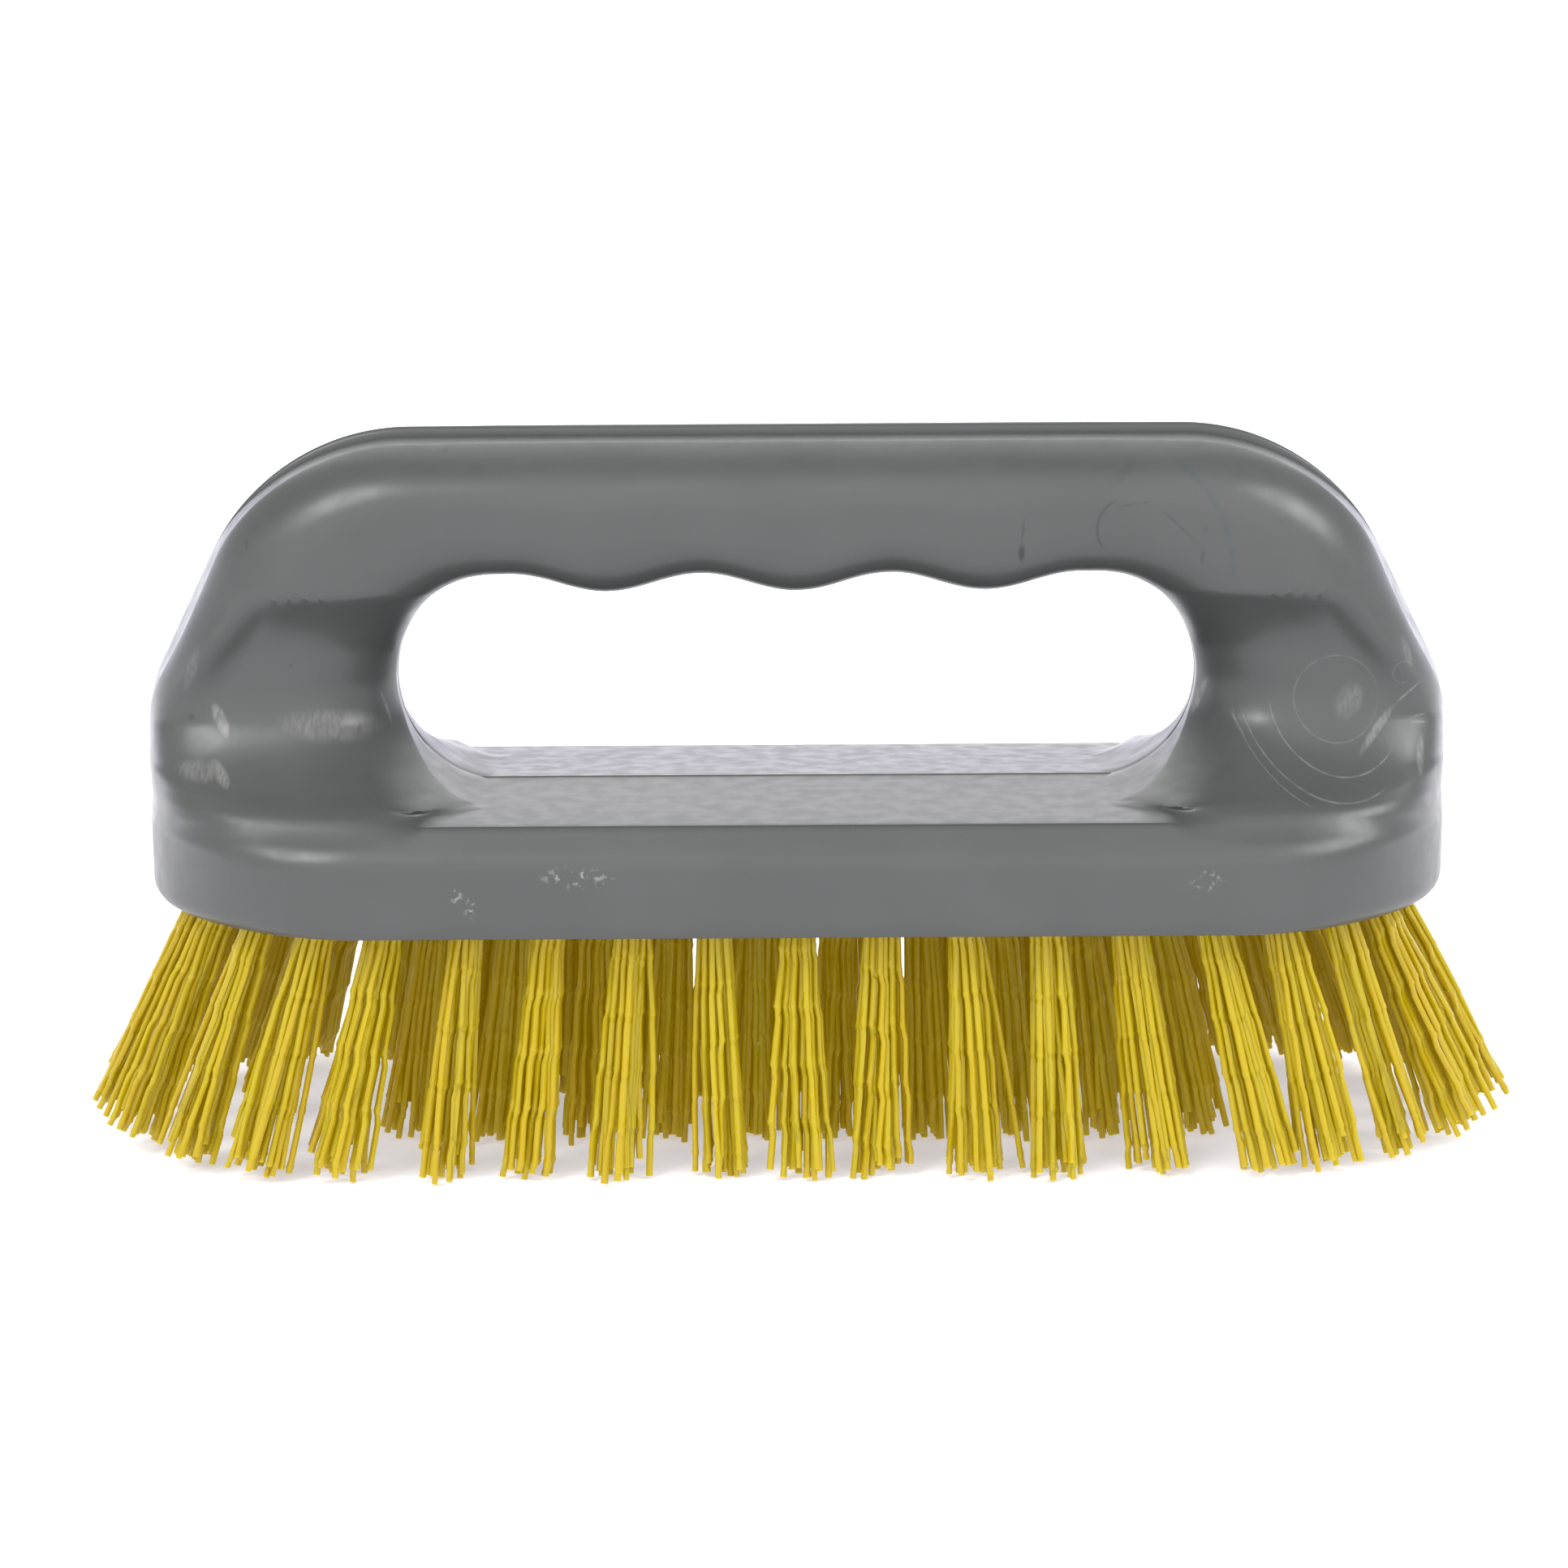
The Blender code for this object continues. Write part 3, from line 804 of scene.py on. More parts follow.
    def build(self) -> bpy.types.Object:
        """Build the block.

        Returns:
            The block, before the handle joins it.
        """
        loops = []
        for height, *shares in self.profile():
            loop = self.outline(tuple(shares))
            loops.append([(x, y, self.side_z(height, y)) for x, y in loop])
        for i in range(1, self.top_steps + 1):
            scale = 1 - math.sin(math.pi / 2 * i / self.top_steps) ** self.top_ring_power
            loop = self.outline((1.0, 0.0, self.fillet), max(scale, self.least_ring_scale))
            loops.append([(x, y, self.top(y)) for x, y in loop])
        bm = bmesh.new()
        skin(bm, loops)
        return mesh_object("base_block", bm)


@dataclass
class HandleArch:
    """The handle bar with its two legs, lofted from foot to foot in two mould halves that don't quite match.

    The angles are bearings from the middle of the opening's right end. For each of them the tables give
    how much of the depth each wall keeps, and the power and root of the rounding between wall and middle.
    """

    base: BaseBlock
    bar_thickness: float = 0.0168
    leg_width: float = 0.0298
    opening_height: float = 0.0255
    shoulder_radius: float = 0.0264
    flank_length: float = 0.0147
    flank_lean: float = math.radians(26.5)
    flank_radius: float = 0.0162
    end_inset: float = -0.0001
    plug_tuck: float = 0.0006
    corner_sink: float = 0.00015
    finger_count: int = 4
    finger_reach_share: float = 0.95
    scallop_depth: float = 0.0021
    bar_depth: float = 0.026
    leg_depth: float = 0.0187
    foot_depth: float = 0.0310
    foot_splay_start: float = 0.0034
    foot_splay_run: float = 0.0051
    foot_splay_power: float = 1.2
    foot_tuck: float = 0.0005
    plug_depth: float = 0.006
    flare_height: float = 0.0131
    flare_power: float = 2.5
    scoop_drop: float = 0.0185
    scoop_step: float = 0.0072
    scoop_step_power: float = 0.57
    scoop_onset: float = 0.06
    rim_width: float = 0.0031
    rim_blend: float = 0.0062
    rim_fade_z: float = 0.0615
    rim_fade_run: float = 0.0105
    end_blend: float = 0.004
    step_height: float = 0.0012
    step_reach: float = 0.016
    step_round: float = 0.0009
    least_step_share: float = 0.03
    widest_round_share: float = 0.6
    inner_groove: float = 0.00012
    groove_share: float = 0.1
    wall_shares: tuple = (0.0, 0.06, 0.12, 0.3, 0.55, 0.8)
    ledge_shares: tuple = (0.85, 0.6)
    angles: tuple = (-88.0, -75.0, -60.0, -45.0, -20.0, 15.0, 55.0, 90.0)
    inner_walls: tuple = (0.97, 0.77, 0.57, 0.42, 0.15, 0.12, 0.17, 0.22)
    inner_powers: tuple = (9.0, 7.0, 4.6, 3.5, 3.1, 3.1, 3.8, 4.2)
    inner_roots: tuple = (9.0, 4.0, 1.6, 1.3, 1.25, 1.35, 3.4, 4.2)
    outer_walls: tuple = (0.94, 0.90, 0.80, 0.60, 0.46, 0.45, 0.41, 0.385)
    outer_powers: tuple = (9.0, 8.0, 6.0, 4.0, 2.7, 2.5, 2.4, 2.4)
    outer_roots: tuple = (9.0, 8.0, 5.0, 2.5, 1.5, 1.3, 1.25, 1.25)
    ledge_slopes: tuple = (0.0, 0.04, 0.08, 0.13, 0.22, 0.21, 0.09, 0.035)
    finger_steps: int = 34
    corner_steps: int = 96
    section_steps: int = 80
    bend_steps: int = 80
    round_steps: int = 5
    outline_samples: int = 3000

    @property
    def recess_z(self) -> float:
        """Height of the opening's highest places."""
        return self.base.crown_z + self.opening_height

    @property
    def top_z(self) -> float:
        """Height of the handle's top."""
        return self.recess_z + self.bar_thickness

    @property
    def corner_radius(self) -> float:
        """Radius of the opening's ends."""
        return (self.opening_height + self.corner_sink) / 2

    @property
    def corner_x(self) -> float:
        """X of the middle of the opening's right end."""
        return self.base.length / 2 - self.leg_width - self.corner_radius

    @property
    def corner_z(self) -> float:
        """Height of the middle of the opening's ends."""
        return self.recess_z - self.corner_radius

    @property
    def finger_pitch(self) -> float:
        """Distance from one finger recess to the next."""
        return 2 * self.finger_reach_share * self.corner_x / (self.finger_count - 1)

    def outline(self) -> np.ndarray:
        """Right half of the outline, from the middle of the top down into the base, evenly spaced.

        Returns:
            X and Z of each point.
        """
        lean_x = math.cos(self.flank_lean)
        lean_z = math.sin(self.flank_lean)
        reach = self.base.length / 2 - self.end_inset
        turn = self.flank_radius * (1 - lean_x)
        centre_x = reach - self.shoulder_radius * lean_x - self.flank_length * lean_z - turn
        centre_z = self.top_z - self.shoulder_radius
        points = [(0.0, self.top_z)]
        for i in range(self.bend_steps + 1):
            angle = math.pi / 2 + (self.flank_lean - math.pi / 2) * i / self.bend_steps
            x = centre_x + self.shoulder_radius * math.cos(angle)
            points.append((x, centre_z + self.shoulder_radius * math.sin(angle)))
        flank_x = points[-1][0] + self.flank_length * lean_z
        flank_z = points[-1][1] - self.flank_length * lean_x
        for i in range(self.bend_steps + 1):
            angle = self.flank_lean * (1 - i / self.bend_steps)
            x = flank_x + self.flank_radius * (math.cos(angle) - lean_x)
            points.append((x, flank_z - self.flank_radius * (lean_z - math.sin(angle))))
        points.append((reach, self.base.crown_z - self.plug_depth))
        corners = np.array(points)
        along = np.concatenate(([0.0], np.cumsum(np.hypot(*np.diff(corners, axis=0).T))))
        even = np.linspace(0.0, along[-1], self.outline_samples)
        return np.column_stack([np.interp(even, along, values) for values in corners.T])

    def finger_line(self, x: float) -> float:
        """Height of the opening's upper edge at x, a wave with one recess for each finger.

        Args:
            x: Distance from the middle of the brush.

        Returns:
            The height.
        """
        outermost = self.finger_reach_share * self.corner_x
        along = min(abs(x), outermost)
        wave = math.cos(2 * math.pi * (along - outermost) / self.finger_pitch)
        return self.recess_z - self.scallop_depth * (1 - wave) / 2

    def stations(self) -> list[tuple]:
        """Lines from the opening to the outline over the right half.

        Returns:
            Inner point and normal, outer point and normal, and angle of each.
        """
        outline = self.outline()
        along = np.gradient(outline, axis=0)
        inward = np.column_stack([along[:, 1], -along[:, 0]]) / np.hypot(*along.T)[:, None]
        table = np.hstack([outline, inward])
        lines = []
        steps = round(self.finger_steps * self.corner_x / self.finger_pitch)
        for i in range(steps):
            x = self.corner_x * i / steps
            lines.append(((x, self.finger_line(x)), (0.0, 1.0), (x, self.top_z), (0.0, -1.0), 90.0))
        away = outline - (self.corner_x, self.corner_z)
        bearing = np.degrees(np.arctan2(away[:, 1], away[:, 0]))
        for i in range(self.corner_steps + 1):
            angle = 90.0 + (self.angles[0] - 90.0) * i / self.corner_steps
            normal = (math.cos(math.radians(angle)), math.sin(math.radians(angle)))
            x = self.corner_x + self.corner_radius * normal[0]
            inner = (x, self.corner_z + self.corner_radius * normal[1])
            if angle > 0:
                found = [np.interp(-angle, -bearing, values) for values in table.T]
            else:
                found = [np.interp(-inner[1], -outline[:, 1], values) for values in table.T]
            lines.append((inner, normal, tuple(found[:2]), tuple(found[2:]), angle))
        inner, normal, outer, inward, angle = lines[-1]
        plug_z = self.base.crown_z - self.plug_depth
        lines.append(((inner[0], plug_z), normal, (outer[0] - self.plug_tuck, plug_z), inward, angle))
        return lines

    def foot(self, x: float, inset: float) -> float:
        """Half the foot's depth on the block.

        Args:
            x: Distance from the middle of the brush.
            inset: How far the foot stays inside the block's top edge at least.

        Returns:
            The depth from the parting plane.
        """
        along = max(x - self.corner_x - self.foot_splay_start, 0.0) / self.foot_splay_run
        room = self.base.half_depth - self.base.edge_inset - self.foot_depth / 2
        edge_inset = self.base.edge_inset_at(x)
        tuck = self.foot_tuck * edge_inset / self.base.edge_inset
        widest = self.base.plan_depth(x, edge_inset + inset + tuck)
        return min(self.foot_depth / 2 + room * along**self.foot_splay_power, widest)

    def half_depth(self, x: float, z: float, from_outline: float) -> float:
        """Half the handle's depth at a point of its front view, before its edges are rounded.

        Args:
            x: Distance from the middle of the brush.
            z: Height.
            from_outline: Distance in from the outline.

        Returns:
            The depth from the parting plane.
        """
        below = max((self.top_z - self.scoop_drop - z) / self.scoop_step, 0.0)
        below_step = ease((below * below / (below + self.scoop_onset)) ** self.scoop_step_power)
        inside_rim = ease((from_outline - self.rim_width) / self.rim_blend)
        inside_rim += (1 - inside_rim) * ease((self.rim_fade_z - z) / self.rim_fade_run)
        depth = self.bar_depth / 2 - (self.bar_depth - self.leg_depth) / 2 * below_step * inside_rim
        flare = min(max(1 - (z - self.base.crown_z) / self.flare_height, 0.0), 1.0) ** self.flare_power
        inset = self.end_inset + self.plug_tuck * max(self.base.crown_z - z, 0.0) / self.plug_depth
        flared = depth + (self.foot(x, inset) - depth) * flare
        return softened_least(flared, self.base.plan_depth(x, inset), self.end_blend * (1 - flare))

    def step_share(self, z: float) -> float:
        """Share of the parting line's full step at a height: all of it on top, next to none low down."""
        return max(ease((z - self.top_z + self.step_reach) / self.step_reach), self.least_step_share)

    def forms(self, angle: float) -> tuple[tuple[float, float, float], tuple[float, float, float], float]:
        """Form of a section at a bearing.

        Args:
            angle: Bearing in degrees, from the middle of the opening's end.

        Returns:
            Wall share, power and root of the inner side and of the outer side, and the ledge's slope.
        """
        inner = (self.inner_walls, self.inner_powers, self.inner_roots)
        outer = (self.outer_walls, self.outer_powers, self.outer_roots)
        near, far = (tuple(np.interp(angle, self.angles, row) for row in rows) for rows in (inner, outer))
        return near, far, self.base.draft + np.interp(angle, self.angles, self.ledge_slopes)

    def side(self, line: tuple, half: Half) -> list[Point]:
        """One half's share of a section, from the parting plane in the opening to the one outside.

        Args:
            line: Inner point and normal, outer point and normal, and bearing.
            half: Which half of the mould.

        Returns:
            The points in order.
        """
        inner, normal, outer, inward = (np.array(value) for value in line[:4])
        near, far, ledge_slope = self.forms(line[4])
        width = np.linalg.norm(outer - inner)
        inner_wall = near[0] * self.half_depth(inner[0], inner[1], width)
        outer_wall = far[0] * self.half_depth(outer[0], outer[1], 0.0)
        start = inner + normal * self.base.draft * inner_wall
        end = outer + inward * ledge_slope * outer_wall
        points = []
        for share in self.wall_shares:
            groove = normal * self.inner_groove * max(1 - share / self.groove_share, 0.0)
            x, z = inner + (start - inner) * share + groove
            points.append((x, half.value * inner_wall * share, z))
        for i in range(self.section_steps + 1):
            across = max(-math.cos(math.pi * i / self.section_steps), -1.0)
            x, z = start + (end - start) * (1 + across) / 2
            depth = self.half_depth(x, z, width * (1 - across) / 2)
            share, power, root = near if across < 0 else far
            crown = (1 - abs(across) ** power) ** (1 / root)
            points.append((x, half.value * depth * (share + (1 - share) * crown), z))
        radius = min(self.step_round * self.step_share(outer[1]), self.widest_round_share * outer_wall)
        rounded = radius / max(outer_wall, 1e-9)
        turns = [math.pi / 2 * i / self.round_steps for i in range(self.round_steps + 1)]
        for share in (*self.ledge_shares, *(rounded * (1 - math.sin(turn)) for turn in turns)):
            x, z = outer + (end - outer) * share
            y = outer_wall * share
            if half is Half.REAR and y < radius:
                x, z = (x, z) + inward * (radius - math.sqrt(radius**2 - (radius - y) ** 2))
            points.append((x, half.value * y, z))
        if half is Half.REAR:
            return points
        return [(x, y, z - self.step_height * self.step_share(z)) for x, y, z in points]

    def section(self, line: tuple) -> list[Point]:
        """One closed section of the handle.

        Args:
            line: Inner point and normal, outer point and normal, and bearing.

        Returns:
            The points in order.
        """
        front = self.side(line, Half.FRONT)
        rear = self.side(line, Half.REAR)
        return front + rear[:0:-1]

    def build(self) -> bpy.types.Object:
        """Build the arch.

        Returns:
            The arch, with plugs that reach down into the block.
        """
        right = [self.section(line) for line in self.stations()]
        left = [[(-x, y, z) for x, y, z in section] for section in right[:0:-1]]
        bm = bmesh.new()
        skin(bm, left + right)
        return mesh_object("handle_arch", bm)


@dataclass
class TuftPlan:
    """Where the tufts stand on the bristle face, and how each leans."""

    base: BaseBlock
    row_inset: float = 0.0064
    side_steps: int = 5
    end_count: int = 8
    end_pitch_share: float = 0.836
    inner_row_share: float = 0.38
    front_count: int = 10
    rear_count: int = 9
    end_pitches: int = 6
    end_lean: float = math.radians(24.0)
    end_lean_power: float = 1.8
    side_lean: float = math.radians(5.0)

    @property
    def row_radius(self) -> float:
        """Distance of the outer row from the base's spine."""
        return self.base.half_depth - self.row_inset

    @property
    def pitch(self) -> float:
        """Distance from tuft to tuft along the straight sides."""
        quarter = self.base.end_centre + self.row_radius * math.pi / 2
        return quarter / (self.side_steps + (self.end_count + 1) / 2 * self.end_pitch_share)

    def rim_point(self, along: float) -> tuple[float, float]:
        """Point of the outer row at a distance from the middle of its side.

        Args:
            along: Distance along the row.

        Returns:
            X and Y of the point.
        """
        if along <= self.base.end_centre:
            return along, self.row_radius
        turn = (along - self.base.end_centre) / self.row_radius
        return self.base.end_centre + self.row_radius * math.sin(turn), self.row_radius * math.cos(turn)

    def places(self) -> dict[TuftRow, list[tuple[float, float]]]:
        """Every tuft's place, row by row, in the order of the CAD nodes' numbers.

        Returns:
            X and Y of each tuft of each row.
        """
        distances = [step * self.pitch for step in range(self.side_steps + 1)]
        for step in range(1, self.end_count // 2 + 1):
            distances.append(distances[self.side_steps] + step * self.end_pitch_share * self.pitch)
        rim = set()
        for x, y in map(self.rim_point, distances):
            rim |= {(end * x, side * y) for end in (-1, 1) for side in (-1, 1)}
        rows = {TuftRow.RIM: sorted(rim)}
        inner_y = self.inner_row_share * self.row_radius
        inner_rows = ((TuftRow.FRONT, self.front_count, -inner_y), (TuftRow.REAR, self.rear_count, inner_y))
        for row, count, y in inner_rows:
            rows[row] = [((i - (count - 1) / 2) * self.pitch, y) for i in range(count)]
        end_x = self.end_pitches * self.pitch
        rows[TuftRow.END] = [(-end_x, 0.0), (end_x, 0.0)]
        return rows

    def direction(self, x: float, y: float) -> Vector:
        """Unit vector along the tuft at x, y, from its root to its tips.

        Args:
            x: Place of its root along the brush.
            y: Place of its root across the brush.

        Returns:
            The unit vector.
        """
        lean_x = self.end_lean * (abs(x) / (self.base.end_centre + self.row_radius)) ** self.end_lean_power
        lean_y = self.side_lean * y / self.row_radius
        return Vector((math.copysign(math.tan(lean_x), x), math.tan(lean_y), -1.0)).normalized()


@dataclass
class MouldedBody:
    """The one-piece body: block and handle joined, tuft holes cut, and the feet run softly into the block."""

    base: BaseBlock
    handle: HandleArch
    plan: TuftPlan
    finish: SatinPlastic = field(default_factory=SatinPlastic)
    hole_radius: float = 0.0022
    hole_depth: float = 0.006
    hole_sides: int = 20
    overrun: float = 0.002
    weld: float = 0.000004
    sharp_degrees: float = 24.0
    valley_reach: float = 0.0032
    corner_reach: float = 0.0009
    valley_from: float = 0.0405
    valley_run: float = 0.0075
    valley_band: float = 0.006
    valley_core: float = 1.6
    valley_passes: int = 110
    valley_step: float = 0.5
    line_steps: int = 1200
    end_line_steps: int = 200

    def build(self) -> bpy.types.Object:
        """Build and dress the body.

        Returns:
            The body.
        """
        body = self.base.build()
        body.name = "moulded_brush_body"
        for other, operation in ((self.handle.build(), "UNION"), (self._holes(), "DIFFERENCE")):
            self._combine(body, other, operation)
        self._soften_feet(body)
        smooth(body.data, self.sharp_degrees)
        body.data.materials.clear()
        body.data.materials.append(self.finish.material())
        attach(body, "root")
        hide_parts("moulded_body")
        return body

    def _combine(self, body: bpy.types.Object, other: bpy.types.Object, operation: str) -> None:
        """Join another solid to the body, or cut it away, and drop the other.

        Args:
            body: The object that changes.
            other: The object that goes.
            operation: UNION or DIFFERENCE.
        """
        modifier = body.modifiers.new(operation.title(), "BOOLEAN")
        modifier.object = other
        modifier.operation = operation
        modifier.solver = "EXACT"
        bpy.context.view_layer.update()
        result = body.evaluated_get(bpy.context.evaluated_depsgraph_get())
        mesh = bpy.data.meshes.new_from_object(result)
        body.modifiers.clear()
        bm = bmesh.new()
        bm.from_mesh(mesh)
        bmesh.ops.remove_doubles(bm, verts=bm.verts[:], dist=self.weld)
        bm.to_mesh(mesh)
        bm.free()
        old = body.data
        body.data = mesh
        bpy.data.meshes.remove(old)
        bpy.data.objects.remove(other, do_unlink=True)

    def _holes(self) -> bpy.types.Object:
        """One blind hole for each tuft, along its lean.

        Returns:
            The holes as one object, to be cut away.
        """
        bm = bmesh.new()
        for places in self.plan.places().values():
            for x, y in places:
                along = self.plan.direction(x, y)
                turned = Vector((0, 0, -1)).rotation_difference(along).to_matrix()
                ends = []
                for depth in (-self.overrun, self.hole_depth):
                    ring = []
                    for i in range(self.hole_sides):
                        angle = 2 * math.pi * i / self.hole_sides
                        point = Vector((math.cos(angle), math.sin(angle), 0)) * self.hole_radius
                        point.z = depth
                        ring.append(turned @ point + Vector((x, y, self.base.face_z)))
                    ends.append(ring)
                skin(bm, ends)
        return mesh_object("hole_cutters", bm)

    def _foot_line(self) -> KDTree:
        """Points of the line where one quarter of a foot stands on the block, for finding the nearest.

        Returns:
            The points' tree.
        """
        line = []
        for i in range(self.line_steps + 1):
            x = self.handle.corner_x + (self.base.length / 2 - self.handle.corner_x) * i / self.line_steps
            line.append((x, self.handle.foot(x, self.handle.end_inset), 0.0))
        end_x = self.base.length / 2 - self.handle.end_inset
        for i in range(self.end_line_steps + 1):
            line.append((end_x, self.valley_band * i / self.end_line_steps, 0.0))
        tree = KDTree(len(line))
        for i, point in enumerate(line):
            tree.insert(point, i)
        tree.balance()
        return tree

    def _soften_feet(self, body: bpy.types.Object) -> None:
        """Melt the line where the legs' feet meet the block into a soft valley.

        Args:
            body: The joined body, whose points near that line move.
        """
        mesh = body.data
        places = np.empty(len(mesh.vertices) * 3)
        mesh.vertices.foreach_get("co", places)
        places = places.reshape(-1, 3)
        edges = np.empty(len(mesh.edges) * 2, dtype=np.int64)
        mesh.edges.foreach_get("vertices", edges)
        edges = edges.reshape(-1, 2)
        weight = np.zeros(len(places))
        line = self._foot_line()
        for i, (x, y, z) in enumerate(places):
            if abs(x) < self.handle.corner_x or abs(z - self.base.crown_z) > self.valley_band:
                continue
            level = line.find((abs(x), abs(y), 0.0))[2]
            away = math.hypot(level, z - self.base.top(y))
            outward = ease((abs(x) - self.valley_from) / self.valley_run)
            reach = self.corner_reach + (self.valley_reach - self.corner_reach) * outward
            weight[i] = ease(self.valley_core - self.valley_core * away / reach)
        near = weight[edges].max(axis=1) > 0
        first, second = edges[near].T
        count = np.bincount(first, minlength=len(places)) + np.bincount(second, minlength=len(places))
        count = np.maximum(count, 1)
        for _ in range(self.valley_passes):
            total = np.zeros_like(places)
            np.add.at(total, first, places[second])
            np.add.at(total, second, places[first])
            mean = total / count[:, None]
            places += (mean - places) * (self.valley_step * weight)[:, None] * (count > 1)[:, None]
        mesh.vertices.foreach_set("co", places.ravel())
        mesh.update()


@dataclass
class FilamentTufts:
    """One row of tufts: bundles of crimped filament that fan out from their holes to ragged, level tips."""

    plan: TuftPlan
    row: TuftRow
    finish: bpy.types.Material
    count: int = 26
    radius: float = 0.00038
    bundle_radius: float = 0.00186
    free_length: float = 0.0297
    root_depth: float = 0.0022
    spread: float = 1.8
    spread_range: tuple = (0.85, 1.15)
    fan_scatter: float = 0.15
    stray: float = 0.00055
    lean_scatter: float = math.radians(1.3)
    bow: float = 0.00025
    way_scatter: float = 0.65
    bend_scatter: float = 0.35
    sway_range: tuple = (0.55, 1.1)
    phase_scatter: float = 0.035
    radius_range: tuple = (0.92, 1.06)
    crimp_pitch: float = 0.0067
    crimp_depth: float = 0.0003
    crimp_peak: float = 0.76
    crimp_places: tuple = (0.0, 0.2, 0.42, 0.62, 0.7, 0.76, 0.81, 0.86, 0.93)
    crimp_onset: float = 0.006
    nodule: float = 0.2
    nodule_reach: float = 0.05
    pinch_share: float = 0.6
    pinch_offset: float = 0.1
    least_stop: float = 0.0003
    floor_gap: float = 0.00008
    sides: int = 6
    ragged: float = 0.0013
    short_share: float = 0.15
    short_by: float = 0.0032
    seed: int = 5

    def build(self) -> bpy.types.Object:
        """Build and dress the row.

        Returns:
            The row's filaments as one object.
        """
        draw = np.random.default_rng(self.seed + list(TuftRow).index(self.row))
        blocks: list[np.ndarray] = []
        places = self.plan.places()[self.row]
        for x, y in places:
            blocks += self._tuft(x, y, draw)
        rings = [len(block) // self.sides for block in blocks]
        mesh = self._mesh(np.concatenate(blocks), rings)
        piece = into_scene(mesh.name, mesh)
        mesh.materials.append(self.finish)
        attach(piece, "root")
        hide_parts(*(f"tuft_{self.row.value}_{i:02d}" for i in range(1, len(places) + 1)))
        return piece

    def _tuft(self, x: float, y: float, draw: np.random.Generator) -> list[np.ndarray]:
        """Build one tuft.

        Args:
            x: Place of its root along the brush.
            y: Place of its root across the brush.
            draw: Source of its small differences.

        Returns:
            Rings of each filament.
        """
        axis = np.array(self.plan.direction(x, y)) + draw.normal(0, self.lean_scatter, 3)
        axis /= np.linalg.norm(axis)
        across = np.cross(axis, (0.0, 1.0, 0.0))
        across /= np.linalg.norm(across)
        beside = np.cross(axis, across)
        root = np.array((x, y, self.plan.base.face_z))
        turn = draw.uniform(0, 2 * math.pi)
        phase = draw.uniform(0, 1)
        way = math.pi / 2 + draw.normal(0, self.way_scatter)
        spread = self.spread * draw.uniform(*self.spread_range)
        blocks = []
        for i in range(self.count):
            reach = self.bundle_radius * math.sqrt((i + 0.4) / self.count)
            angle = turn + i * math.pi * (3 - math.sqrt(5))
            offset = (across * math.cos(angle) + beside * math.sin(angle)) * reach
            fan = spread - 1 + draw.normal(0, self.fan_scatter)
            stray = (across * draw.normal() + beside * draw.normal()) * self.stray
            direction = axis * self.free_length + offset * fan + stray
            direction /= np.linalg.norm(direction)
            short = abs(draw.normal(0, self.ragged))
            if draw.uniform() < self.short_share:
                short += self.short_by * draw.uniform()
            length = min(self.free_length - short, (root[2] + offset[2] - self.floor_gap) / -direction[2])
            bend = way + draw.normal(0, self.bend_scatter)
            sway = (across * math.cos(bend) + beside * math.sin(bend)) * self.crimp_depth
            sway *= draw.uniform(*self.sway_range)
            own_phase = phase + draw.normal(0, self.phase_scatter)
            blocks.append(self._filament(root + offset, direction, length, sway, own_phase, draw))
        return blocks

    def _stops(self, length: float, phase: float) -> np.ndarray:
        """Distances of the rings along a filament, close together at each crimp.

        Args:
            length: The filament's free length.
            phase: Where in a crimp it leaves the face.

        Returns:
            The distances from the bristle face, from the root's end on.
        """
        first = math.floor(phase - self.root_depth / self.crimp_pitch)
        last = math.ceil(phase + length / self.crimp_pitch)
        turns = (np.arange(first, last + 1)[:, None] + np.array(self.crimp_places)).ravel()
        stops = (turns - phase) * self.crimp_pitch
        inside = (stops > self.least_stop - self.root_depth) & (stops < length - self.least_stop)
        return np.concatenate(([-self.root_depth], stops[inside], [length]))

    def _filament(
        self,
        root: np.ndarray,
        direction: np.ndarray,
        length: float,
        sway: np.ndarray,
        phase: float,
        draw: np.random.Generator,
    ) -> np.ndarray:
        """Rings of one filament from inside its hole to its cut tip.

        Args:
            root: Its place on the bristle face.
            direction: Unit vector towards its tip.
            length: Its free length.
            sway: Which way and how far each crimp throws it.
            phase: Where in a crimp it leaves the face.
            draw: Source of its small differences.

        Returns:
            The vertices, ring after ring.
        """
        along = self._stops(length, phase)
        turn = (along / self.crimp_pitch + phase) % 1.0
        rise = turn / self.crimp_peak
        fall = (1 - turn) / (1 - self.crimp_peak)
        wave = np.minimum(rise, fall) - 0.5
        wave *= np.clip((along + self.root_depth) / self.crimp_onset, 0, 1)
        side = np.cross(direction, (0.3, 1.0, 0.1))
        side /= np.linalg.norm(side)
        front = np.cross(direction, side)
        bow = side * draw.normal(0, self.bow) + front * draw.normal(0, self.bow)
        bowed = bow * np.sin(math.pi * np.clip(along / length, 0, 1))[:, None]
        path = root + direction * along[:, None] + sway * wave[:, None] + bowed
        angles = 2 * math.pi * np.arange(self.sides) / self.sides + draw.uniform(0, 1)
        circle = side * np.cos(angles)[:, None] + front * np.sin(angles)[:, None]
        bead = np.exp(-(((turn - self.crimp_peak) / self.nodule_reach) ** 2))
        pinch = np.exp(-(((turn - self.crimp_peak - self.pinch_offset) / self.nodule_reach) ** 2))
        swell = 1 + self.nodule * (bead - self.pinch_share * pinch)
        radius = self.radius * draw.uniform(*self.radius_range) * swell
        return (path[:, None, :] + circle[None] * radius[:, None, None]).reshape(-1, 3)

